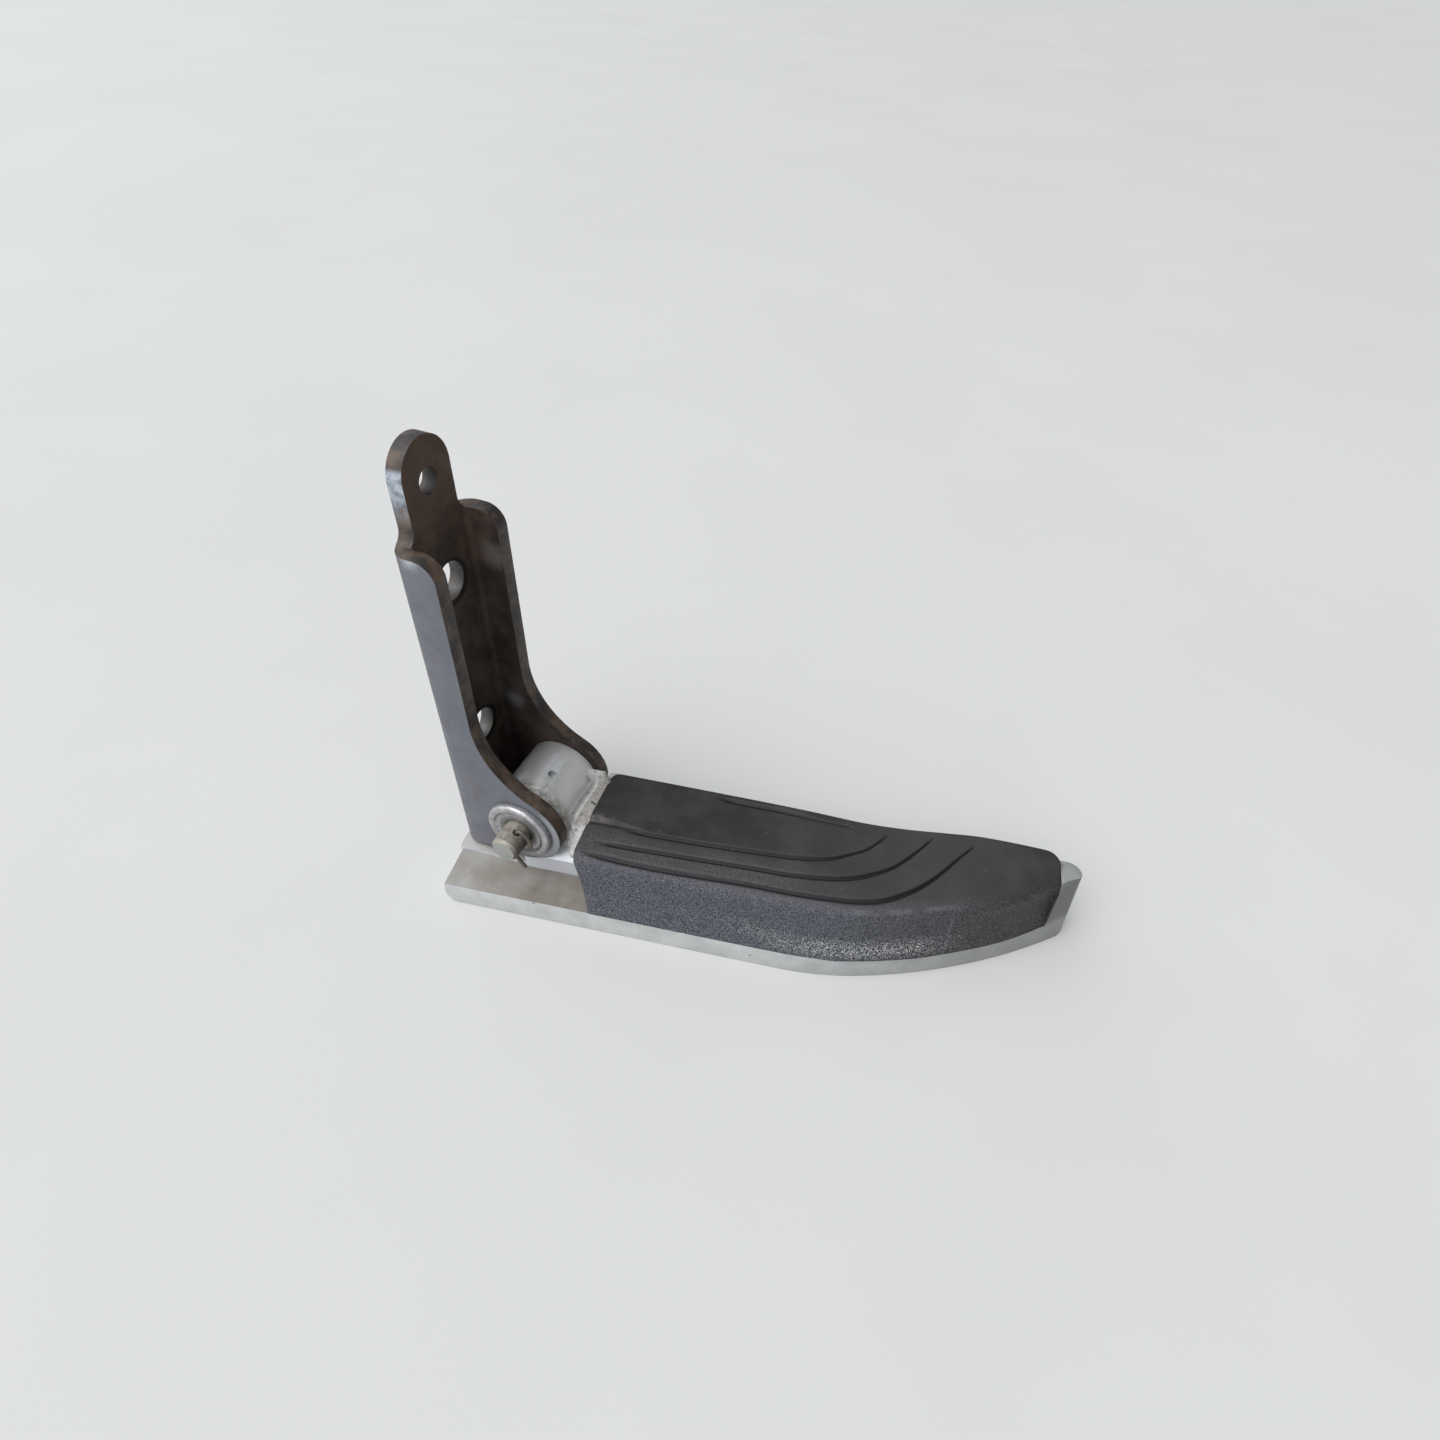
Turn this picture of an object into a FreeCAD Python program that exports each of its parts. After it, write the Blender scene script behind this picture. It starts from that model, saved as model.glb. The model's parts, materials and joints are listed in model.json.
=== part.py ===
"""Folding rear footrest of a motorcycle, with its bracket.

A folded steel bracket carries a cast footrest on a clevis pin. The origin is the middle of the two
frame bolt holes, on the back face of the bracket's web. +X points away from the web, +Y runs along
the pivot and +Z points up the web. Each piece is drawn from the middle of the pivot axis.
"""
import FreeCAD, Part
import math
import os
import re
import Sketcher

Vector = FreeCAD.Vector

# Driving sizes in millimetres and degrees
SIZES = {
    # Folded bracket
    "bracket_width": 28.4,
    "sheet_thickness": 4.0,
    "fold_radius": 5.5,
    "web_back_to_pivot": 22.3,
    "flange_depth": 12.2,
    "flange_top": 83.0,
    "flange_corner": 5.0,
    "sweep_radius": 26.0,
    "ear_radius": 12.2,
    "foot_slope": 9.0,
    "tab_width": 16.4,
    "tab_top": 104.7,
    "tab_hole_height": 94.5,
    "tab_hole_radius": 3.1,
    "tab_flare_radius": 4.0,
    "tab_flare_angle": 60.0,
    "bolt_hole_height": 20.0,
    "bolt_spacing": 48.0,
    "bolt_hole_radius": 5.1,
    # Pivot pin, washer and split pin
    "pin_radius": 4.0,
    "pin_running_fit": 0.05,
    "pin_head_radius": 6.6,
    "pin_head_height": 3.0,
    "pin_tail": 9.0,
    "pin_chamfer": 0.8,
    "washer_radius": 9.6,
    "washer_thickness": 2.0,
    "washer_fit": 0.15,
    "washer_rim": 0.6,
    "washer_dish_radius": 7.6,
    "washer_dish_depth": 0.5,
    "split_pin_setback": 4.3,
    "split_pin_angle": 26.0,
    "split_wire_radius": 0.55,
    "split_hole_fit": 0.45,
    "split_crook_radius": 1.2,
    "split_crook_turn": 105.0,
    "split_hook_radius": 5.4,
    "split_rise": 0.2,
    "split_elbow_radius": 1.6,
    "split_elbow_turn": 60.0,
    "split_toe": 7.5,
    # Cast footrest: hub and tail
    "footrest_yaw": 10.4,
    "side_clearance": 0.3,
    "stop_clearance": 0.2,
    "ear_clearance": 0.5,
    "hub_radius": 11.0,
    "pedestal_back": 7.0,
    "ledge_step": 1.3,
    "ledge_near_tail": 13.0,
    "ledge_near_neck": 14.4,
    "tail_length": 24.0,
    "tail_round": 4.0,
    "tail_to_web_back": 0.3,
    "oil_hole_radius": 1.1,
    "oil_hole_angle": 18.0,
    "oil_hole_depth": 1.6,
    # Cast footrest: blade, core and nose
    "base_height": 7.2,
    "near_half": 26.2,
    "far_half": 12.0,
    "bend_radius": 90.0,
    "tip_sweep_radius": 165.0,
    "tip_reach": 152.8,
    "curve_length": 79.0,
    "nose_radius": 5.5,
    "nose_length": 7.5,
    "nose_drop": 0.6,
    "side_draft": 4.0,
    "neck_drop": 5.0,
    "neck_start": 4.0,
    "neck_length": 17.0,
    "neck_chamfer": 6.4,
    "hub_foot_round": 3.5,
    "core_back": 3.0,
    "core_far": 6.5,
    "core_bend_setback": 63.0,
    "core_end_setback": 19.0,
    "core_end_near": 2.0,
    # Lightening pockets under the blade
    "pocket_first": 22.0,
    "pocket_count": 3,
    "pocket_depth": 4.5,
    "pocket_near": 21.5,
    "pocket_rib": 2.0,
    "pocket_far": 6.5,
    # Rubber pad
    "pad_inset": 0.3,
    "pad_tip_inset": 2.6,
    "pad_clearance": 0.3,
    "pad_root": 12.0,
    "pad_steps": 7,
    "pad_lean": 17.0,
    "pad_far_lean": 1.4,
    "pad_crest": 1.0,
    "pad_crest_fall": 2.0,
    "pad_fall_length": 62.0,
    "pad_far_root": 1.9,
    "pad_dip_setback": 64.0,
    "pad_far_dip": 0.8,
    "pad_far_end": 5.0,
    "pad_edge_round": 2.5,
    "pad_cut_yaw": 5.5,
    "pad_cut_top": 15.9,
    "pad_cut_slant": 17.0,
    "pad_cut_depth": 40.0,
    "groove_half_width": 0.9,
    "groove_depth": 1.5,
    "near_groove_height": 0.9,
    "near_groove_along": 17.0,
    "near_groove_start": 18.9,
    "near_groove_setback": 70.0,
    "near_groove_across": 17.8,
    "near_groove_radius": 42.0,
    "near_groove_sweep": 66.0,
    "middle_groove_height": 1.1,
    "middle_groove_along": 20.0,
    "middle_groove_start": 14.9,
    "middle_groove_setback": 76.0,
    "middle_groove_across": 12.6,
    "middle_groove_radius": 36.0,
    "middle_groove_sweep": 66.0,
    "inner_groove_height": 1.2,
    "inner_groove_along": 27.0,
    "inner_groove_start": 9.4,
    "inner_groove_setback": 81.0,
    "inner_groove_across": 7.2,
    "inner_groove_radius": 30.0,
    "inner_groove_sweep": 64.0,
    "far_groove_height": 1.2,
    "far_groove_along": 48.0,
    "far_groove_start": -9.2,
    "far_groove_setback": 80.0,
    "far_groove_across": -7.9,
    "far_groove_radius": 80.0,
    "far_groove_sweep": 10.0,
    # Detent between the hub and the far ear
    "detent_offset": 7.6,
    "detent_angle": 205.0,
    "detent_hole_radius": 2.1,
    "detent_hole_depth": 9.0,
    "detent_ball_radius": 2.0,
    "detent_ball_gap": 0.05,
    "detent_dimple_radius": 1.1,
    "detent_dimple_depth": 0.5,
    "detent_spring_radius": 1.4,
    "detent_wire_radius": 0.3,
    "detent_spring_turns": 3,
    "fold_angle": 80.0,
}

# Places that several pieces share, measured from the pivot axis
PIVOT_DROP = "(bolt_hole_height + bolt_spacing / 2)"
EAR_FACE = "(bracket_width / 2)"
EAR_INNER = "(bracket_width / 2 - sheet_thickness)"
HUB_HALF = f"({EAR_INNER} - side_clearance)"
FOOT_DROP = "((web_back_to_pivot * sin(foot_slope) + ear_radius) / cos(foot_slope))"
LEDGE_DROP = f"({FOOT_DROP} + stop_clearance)"
SHELF_DROP = f"({LEDGE_DROP} + ledge_step)"
BASE_DROP = f"({SHELF_DROP} + base_height)"
SCOOP_RADIUS = "(ear_radius + ear_clearance)"
SPLIT_HOLE = "(split_wire_radius + split_hole_fit)"
BEND_START = "(tip_reach - curve_length)"
NOSE_START = "(tip_reach - nose_length)"
PAD_END = f"({NOSE_START} - pad_clearance)"
BALL_BACK = "sqrt(detent_ball_radius ^ 2 - detent_spring_radius ^ 2)"
BALL_PLACE = f"({EAR_INNER} - detent_ball_gap - detent_ball_radius)"
SPRING_LENGTH = f"{BALL_PLACE} - {BALL_BACK} - {HUB_HALF} + detent_hole_depth - 3 * detent_wire_radius"
OUTSIDE = "(2 * tip_reach)"

doc = FreeCAD.newDocument("rear_footrest")
sheet = doc.addObject("Spreadsheet::Sheet", "Sizes")
for row, (name, value) in enumerate(SIZES.items(), start=1):
    sheet.set(f"A{row}", name)
    sheet.set(f"B{row}", str(value))
    sheet.setAlias(f"B{row}", name)
doc.recompute()


def cells(expression):
    """Point each size named in an expression at its cell in the sheet."""
    def point(word):
        return f"Sizes.{word[0]}" if word[0] in SIZES else word[0]
    return re.sub(r"[a-z_]+", point, expression)


def bind(item, place, expression):
    """Drive one property of an object from the sheet."""
    item.setExpression(place, cells(expression))


def at_pivot(item):
    """Put a piece's own origin on the middle of the pivot axis."""
    bind(item, "Placement.Base.x", "web_back_to_pivot")
    bind(item, "Placement.Base.z", f"-{PIVOT_DROP}")


def new_body(name):
    """Start a piece drawn from the pivot."""
    body = doc.addObject("PartDesign::Body", name)
    body.Label = name
    at_pivot(body)
    return body


def new_sketch(body, name, plane, lift="0", turn=None):
    """Start a sketch on one of the body's planes, lifted off it and turned about the vertical."""
    sketch = body.newObject("Sketcher::SketchObject", name)
    support = next(item for item in body.Origin.OriginFeatures if item.Role == plane)
    sketch.AttachmentSupport = [(support, "")]
    sketch.MapMode = "FlatFace"
    if turn:
        upright = Vector(0, 0, 1) if plane == "XY_Plane" else Vector(0, 1, 0)
        sketch.AttachmentOffset = FreeCAD.Placement(Vector(), FreeCAD.Rotation(upright, 1))
        bind(sketch, "AttachmentOffset.Rotation.Angle", f"1 deg * ({turn})")
    bind(sketch, "AttachmentOffset.Base.z", lift)
    return sketch


def drive(sketch, constraint, expression):
    """Add a dimension whose value comes from the sheet."""
    index = sketch.addConstraint(constraint)
    bind(sketch, f"Constraints[{index}]", expression)


def pin_point(sketch, edge, end, across, up):
    """Fix a point of the sketch at a place given by two expressions."""
    point = sketch.getPoint(edge, end)
    for kind, axis, start, value in (("DistanceX", -2, point.x, across), ("DistanceY", -1, point.y, up)):
        if value == "0":
            sketch.addConstraint(Sketcher.Constraint("PointOnObject", edge, end, axis))
        else:
            drive(sketch, Sketcher.Constraint(kind, -1, 1, edge, end, start), value)


def polygon(sketch, corners):
    """Draw a closed outline of straight edges through corners given by expressions."""
    first = sketch.GeometryCount
    count = len(corners)
    turn = 2 * math.pi / count
    spots = [Vector(math.cos(turn * step), math.sin(turn * step), 0) for step in range(count)]
    for step in range(count):
        sketch.addGeometry(Part.LineSegment(spots[step], spots[(step + 1) % count]))
    for step in range(count):
        following = first + (step + 1) % count
        sketch.addConstraint(Sketcher.Constraint("Coincident", first + step, 2, following, 1))
    for step, (across, up) in enumerate(corners):
        pin_point(sketch, first + step, 1, across, up)


def rectangle(sketch, left, low, right, high):
    """Draw an upright rectangle between two corners."""
    polygon(sketch, [(left, low), (right, low), (right, high), (left, high)])


def circle(sketch, across, up, radius):
    """Draw a circle at a place given by expressions."""
    edge = sketch.addGeometry(Part.Circle(Vector(1, 1, 0), Vector(0, 0, 1), 1))
    pin_point(sketch, edge, 3, across, up)
    drive(sketch, Sketcher.Constraint("Radius", edge, 1), radius)


def arc(centre, radius, start, end):
    """Make an arc, counter-clockwise between two angles in degrees."""
    whole = Part.Circle(centre, Vector(0, 0, 1), radius)
    return Part.ArcOfCircle(whole, math.radians(start), math.radians(end))


def tangent(sketch, edge, end, other, other_end):
    """Join two edges end to end without a corner."""
    sketch.addConstraint(Sketcher.Constraint("Tangent", edge, end, other, other_end))


def join(sketch, edge, end, other, other_end):
    """Join two edges end to end."""
    sketch.addConstraint(Sketcher.Constraint("Coincident", edge, end, other, other_end))


def pad(body, sketch, length, both_ways=False, flipped=False):
    """Raise a sketch into a solid."""
    feature = body.newObject("PartDesign::Pad", f"{sketch.Name}_pad")
    feature.Profile = sketch
    bind(feature, "Length", length)
    feature.SideType = "Symmetric" if both_ways else "One side"
    feature.Reversed = flipped
    return feature


def pocket(body, sketch, length, both_ways=False, flipped=False):
    """Cut a sketch out of the body, and make sure that it removed something."""
    doc.recompute()
    before = body.Shape.Volume
    feature = body.newObject("PartDesign::Pocket", f"{sketch.Name}_cut")
    feature.Profile = sketch
    bind(feature, "Length", length)
    feature.SideType = "Symmetric" if both_ways else "One side"
    feature.Reversed = flipped
    doc.recompute()
    if not feature.Shape.Volume < before:
        raise RuntimeError(f"{feature.Name} removed nothing")
    return feature


def edges_of(body, name, wanted):
    """Find the edges of the body that a test picks."""
    doc.recompute()
    base = body.Tip
    names = [f"Edge{index}" for index, edge in enumerate(base.Shape.Edges, start=1) if wanted(edge)]
    if not names:
        raise RuntimeError(f"{name} found no edge")
    return base, names


def fillet(body, name, wanted, radius):
    """Round the edges of the body that the test picks."""
    edges = edges_of(body, name, wanted)
    feature = body.newObject("PartDesign::Fillet", name)
    feature.Base = edges
    bind(feature, "Radius", radius)
    doc.recompute()


def chamfer(body, name, wanted, distance):
    """Slope the edges of the body that the test picks."""
    edges = edges_of(body, name, wanted)
    feature = body.newObject("PartDesign::Chamfer", name)
    feature.Base = edges
    bind(feature, "Size", distance)
    doc.recompute()


def is_straight(edge, direction):
    """Say whether an edge is a straight line along a direction."""
    if not isinstance(edge.Curve, Part.Line):
        return False
    return abs(abs(edge.Curve.Direction.dot(direction)) - 1) < 1e-6


def near(value, wanted, tolerance=0.02):
    """Compare two lengths."""
    return abs(value - wanted) < tolerance


def size(name):
    """Give a driving size as a number."""
    return float(sheet.get(name))


def make_bracket():
    """Fold the channel, cut its side outline and pierce its holes."""
    body = new_body("mounting_bracket")
    section = new_sketch(body, "channel_section", "XY_Plane", f"-({FOOT_DROP} + sheet_thickness)")
    back = "-web_back_to_pivot"
    inner_back = "-web_back_to_pivot + sheet_thickness"
    polygon(section, [
        (back, f"-{EAR_FACE}"), ("ear_radius", f"-{EAR_FACE}"),
        ("ear_radius", f"-{EAR_INNER}"), (inner_back, f"-{EAR_INNER}"),
        (inner_back, EAR_INNER), ("ear_radius", EAR_INNER),
        ("ear_radius", EAR_FACE), (back, EAR_FACE),
    ])
    pad(body, section, f"flange_top + {FOOT_DROP} + sheet_thickness")

    upright = Vector(0, 0, 1)
    web_back = -size("web_back_to_pivot")
    outside = size("bracket_width") / 2
    inside = outside - size("sheet_thickness")

    def on_corner(depth, across):
        def wanted(edge):
            middle = edge.CenterOfMass
            on_edge = near(middle.x, depth) and near(abs(middle.y), across)
            return is_straight(edge, upright) and on_edge
        return wanted
    fillet(body, "outer_folds", on_corner(web_back, outside), "fold_radius")
    inner_web = web_back + size("sheet_thickness")
    fillet(body, "inner_folds", on_corner(inner_web, inside), "fold_radius - sheet_thickness")

    cut_side_outline(body)

    tab = new_sketch(body, "tab", "YZ_Plane", back)
    draw_tab(tab)
    pad(body, tab, "sheet_thickness")

    holes = new_sketch(body, "frame_holes", "YZ_Plane", back)
    circle(holes, "0", "bolt_hole_height", "bolt_hole_radius")
    circle(holes, "0", "bolt_hole_height + bolt_spacing", "bolt_hole_radius")
    circle(holes, "0", "tab_hole_height", "tab_hole_radius")
    pocket(body, holes, "sheet_thickness", flipped=True)

    pin_holes = new_sketch(body, "ear_holes", "XZ_Plane")
    circle(pin_holes, "0", "0", "pin_radius + pin_running_fit")
    pocket(body, pin_holes, "2 * bracket_width", both_ways=True)

    dimples = new_sketch(body, "detent_dimples", "XZ_Plane", f"-{EAR_INNER}")
    for angle in ("detent_angle", "(detent_angle + fold_angle)"):
        place = (f"detent_offset * cos({angle})", f"detent_offset * sin({angle})")
        circle(dimples, *place, "detent_dimple_radius")
    pocket(body, dimples, "detent_dimple_depth")
    return body


def cut_side_outline(body):
    """Cut both flanges to their side outline: corner, straight edge, sweep, round ear and foot."""
    sketch = new_sketch(body, "side_outline", "XZ_Plane")
    front = size("flange_depth") - size("web_back_to_pivot")
    top = size("flange_top")
    corner = size("flange_corner")
    ear = size("ear_radius")
    sweep = size("sweep_radius")
    slope = size("foot_slope")
    margin = ear
    centre_x = front + sweep
    centre_z = math.sqrt((ear + sweep) ** 2 - centre_x ** 2)
    meet = math.degrees(math.atan2(centre_z, centre_x))
    right = ear + margin
    left = -size("web_back_to_pivot") - margin
    low = -top / 2
    touch = Vector(ear * math.sin(math.radians(slope)), -ear * math.cos(math.radians(slope)), 0)
    foot_z = touch.y + (left - touch.x) * math.tan(math.radians(slope))
    rounding = sketch.addGeometry(arc(Vector(front - corner, top - corner, 0), corner, 0, 90))
    edge = sketch.addGeometry(Part.LineSegment(Vector(front, top - corner, 0), Vector(front, centre_z, 0)))
    hollow = sketch.addGeometry(arc(Vector(centre_x, centre_z, 0), sweep, 180, 180 + meet))
    round_ear = sketch.addGeometry(arc(Vector(), ear, slope - 90, meet))
    spots = [touch, Vector(left, foot_z, 0), Vector(left, low, 0), Vector(right, low, 0),
             Vector(right, top + margin, 0), Vector(front - corner, top + margin, 0),
             Vector(front - corner, top, 0)]
    lines = [sketch.addGeometry(Part.LineSegment(*pair)) for pair in zip(spots, spots[1:])]
    tangent(sketch, rounding, 1, edge, 1)
    tangent(sketch, edge, 2, hollow, 1)
    tangent(sketch, hollow, 2, round_ear, 2)
    tangent(sketch, round_ear, 1, lines[0], 1)
    for line, following in zip(lines, lines[1:]):
        join(sketch, line, 2, following, 1)
    join(sketch, lines[-1], 2, rounding, 2)
    for upright in (edge, lines[1], lines[3], lines[5]):
        sketch.addConstraint(Sketcher.Constraint("Vertical", upright))
    for level in (lines[2], lines[4]):
        sketch.addConstraint(Sketcher.Constraint("Horizontal", level))
    join(sketch, round_ear, 3, -1, 1)
    drive(sketch, Sketcher.Constraint("Radius", round_ear, ear), "ear_radius")
    drive(sketch, Sketcher.Constraint("Radius", hollow, sweep), "sweep_radius")
    drive(sketch, Sketcher.Constraint("Radius", rounding, corner), "flange_corner")
    front_place = "flange_depth - web_back_to_pivot"
    drive(sketch, Sketcher.Constraint("DistanceX", -1, 1, edge, 1, front), front_place)
    pin_point(sketch, rounding, 2, f"{front_place} - flange_corner", "flange_top")
    drive(sketch, Sketcher.Constraint("DistanceX", -1, 1, lines[1], 1, left), "-web_back_to_pivot - ear_radius")
    drive(sketch, Sketcher.Constraint("DistanceX", -1, 1, lines[3], 1, right), "2 * ear_radius")
    drive(sketch, Sketcher.Constraint("DistanceY", -1, 1, lines[2], 1, low), "-flange_top / 2")
    drive(sketch, Sketcher.Constraint("DistanceY", -1, 1, lines[4], 1, top + margin), "flange_top + ear_radius")
    turn = math.radians(180 + slope)
    drive(sketch, Sketcher.Constraint("Angle", lines[0], turn), "1 deg * (180 + foot_slope)")
    pocket(body, sketch, "2 * bracket_width", both_ways=True)


def draw_tab(sketch):
    """Draw the round-ended tab, flared where it leaves the web."""
    half = size("tab_width") / 2
    centre = size("tab_top") - half
    foot = size("flange_top") - half
    flare = size("tab_flare_radius")
    turn = size("tab_flare_angle")
    lean = math.radians(turn)
    start = size("flange_top") + flare * math.sin(lean)
    wide = half + flare * (1 - math.cos(lean))
    crown = sketch.addGeometry(arc(Vector(0, centre, 0), half, 0, 180))
    left = sketch.addGeometry(Part.LineSegment(Vector(-half, centre, 0), Vector(-half, start, 0)))
    left_flare = sketch.addGeometry(arc(Vector(-half - flare, start, 0), flare, -turn, 0))
    spots = [Vector(-wide, start - flare * math.sin(lean), 0), Vector(-wide, foot, 0), Vector(wide, foot, 0),
             Vector(wide, start - flare * math.sin(lean), 0)]
    lines = [sketch.addGeometry(Part.LineSegment(*pair)) for pair in zip(spots, spots[1:])]
    right_flare = sketch.addGeometry(arc(Vector(half + flare, start, 0), flare, 180, 180 + turn))
    right = sketch.addGeometry(Part.LineSegment(Vector(half, start, 0), Vector(half, centre, 0)))
    tangent(sketch, crown, 2, left, 1)
    tangent(sketch, left, 2, left_flare, 2)
    join(sketch, left_flare, 1, lines[0], 1)
    join(sketch, lines[0], 2, lines[1], 1)
    join(sketch, lines[1], 2, lines[2], 1)
    join(sketch, lines[2], 2, right_flare, 2)
    tangent(sketch, right_flare, 1, right, 1)
    tangent(sketch, right, 2, crown, 1)
    pin_point(sketch, crown, 3, "0", "tab_top - tab_width / 2")
    drive(sketch, Sketcher.Constraint("Radius", crown, half), "tab_width / 2")
    sketch.addConstraint(Sketcher.Constraint("Vertical", left))
    sketch.addConstraint(Sketcher.Constraint("Vertical", right))
    sketch.addConstraint(Sketcher.Constraint("Vertical", lines[0]))
    sketch.addConstraint(Sketcher.Constraint("Horizontal", lines[1]))
    sketch.addConstraint(Sketcher.Constraint("Vertical", lines[2]))
    drive(sketch, Sketcher.Constraint("DistanceY", -1, 1, lines[1], 1, foot), "flange_top - tab_width / 2")
    for edge, end in ((left_flare, 1), (right_flare, 2)):
        drive(sketch, Sketcher.Constraint("Radius", edge, flare), "tab_flare_radius")
        drive(sketch, Sketcher.Constraint("Angle", edge, lean), "1 deg * tab_flare_angle")
        drive(sketch, Sketcher.Constraint("DistanceY", -1, 1, edge, end, size("flange_top")), "flange_top")


def bend_place():
    """Give the place along the footrest where its near edge starts to curve, as a number."""
    return size("tip_reach") - size("curve_length")


def blade_curve():
    """Work out where the blade's two near arcs and its round nose meet, in the footrest's plan.

    Returns the centre of the second arc and the angles turned through by the first arc and by both.
    """
    first = Vector(bend_place(), size("bend_radius") - size("near_half"), 0)
    nose = size("nose_radius")
    tip = Vector(size("tip_reach") - nose, size("far_half") - nose, 0)
    reach = tip - first
    step = size("bend_radius") - size("tip_sweep_radius")
    span = size("tip_sweep_radius") - nose
    along = (reach.Length ** 2 + step ** 2 - span ** 2) / (2 * step)
    turn = math.pi / 2 + math.atan2(reach.y, reach.x) - math.acos(along / reach.Length)
    second = first + step * Vector(math.sin(turn), -math.cos(turn), 0)
    total = math.atan2(tip.x - second.x, second.y - tip.y)
    return first, second, tip, math.degrees(turn), math.degrees(total)


def draw_blade(sketch):
    """Draw the footrest's plan: straight near edge, two arcs in to the nose, and straight far edge."""
    first, second, tip, turn, total = blade_curve()
    tail = -size("tail_length")
    near_side = -size("near_half")
    far_side = size("far_half")
    bend = sketch.addGeometry(arc(first, size("bend_radius"), -90, turn - 90))
    sweep = sketch.addGeometry(arc(second, size("tip_sweep_radius"), turn - 90, total - 90))
    nose = sketch.addGeometry(arc(tip, size("nose_radius"), total - 90, 90))
    spots = [Vector(tip.x, far_side, 0), Vector(tail, far_side, 0), Vector(tail, near_side, 0),
             Vector(first.x, near_side, 0)]
    lines = [sketch.addGeometry(Part.LineSegment(*pair)) for pair in zip(spots, spots[1:])]
    tangent(sketch, bend, 2, sweep, 1)
    tangent(sketch, sweep, 2, nose, 1)
    tangent(sketch, nose, 2, lines[0], 1)
    join(sketch, lines[0], 2, lines[1], 1)
    join(sketch, lines[1], 2, lines[2], 1)
    tangent(sketch, lines[2], 2, bend, 1)
    sketch.addConstraint(Sketcher.Constraint("Horizontal", lines[0]))
    sketch.addConstraint(Sketcher.Constraint("Horizontal", lines[2]))
    pin_point(sketch, lines[1], 1, "-tail_length", "far_half")
    pin_point(sketch, lines[2], 1, "-tail_length", "-near_half")
    drive(sketch, Sketcher.Constraint("DistanceX", -1, 1, bend, 1, first.x), BEND_START)
    drive(sketch, Sketcher.Constraint("Radius", bend, size("bend_radius")), "bend_radius")
    drive(sketch, Sketcher.Constraint("Radius", sweep, size("tip_sweep_radius")), "tip_sweep_radius")
    drive(sketch, Sketcher.Constraint("Radius", nose, size("nose_radius")), "nose_radius")
    drive(sketch, Sketcher.Constraint("DistanceX", -1, 1, nose, 3, tip.x), "tip_reach - nose_radius")


def draw_core(sketch, margin):
    """Draw the plan of the neck and of the core that the rubber sits over."""
    bend = f"tip_reach - core_bend_setback + {margin}"
    end = f"tip_reach - core_end_setback + {margin}"
    polygon(sketch, [
        ("-core_back", f"-(ledge_near_neck + {margin})"), (bend, f"-(ledge_near_neck + {margin})"),
        (end, f"core_end_near - {margin}"), (end, f"core_far + {margin}"),
        ("-core_back", f"core_far + {margin}"),
    ])


def soften_casting(body):
    """Round the hub's foot, slope the neck's near edge and round the bottom of the tail."""
    yaw = math.radians(size("footrest_yaw"))
    along = Vector(math.cos(yaw), math.sin(yaw), 0)
    across = Vector(-math.sin(yaw), math.cos(yaw), 0)
    neck_z = -size("neck_drop")
    hub_x = math.sqrt(size("hub_radius") ** 2 - neck_z ** 2)

    def neck_edge(edge):
        middle = edge.CenterOfMass
        level = near(middle.z, neck_z) and near(middle.dot(across), -size("ledge_near_neck"))
        return is_straight(edge, along) and level

    def hub_foot(edge):
        middle = edge.CenterOfMass
        level = near(middle.z, neck_z) and near(middle.x, hub_x)
        return is_straight(edge, Vector(0, 1, 0)) and level

    def tail_bottom(edge):
        middle = edge.CenterOfMass
        low = near(middle.z, shelf_height() - size("base_height"))
        return is_straight(edge, across) and low and near(middle.dot(along), -size("tail_length"))
    chamfer(body, "neck_slope", neck_edge, "neck_chamfer")
    fillet(body, "hub_foot", hub_foot, "hub_foot_round")
    fillet(body, "tail_bottom", tail_bottom, "tail_round")


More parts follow.
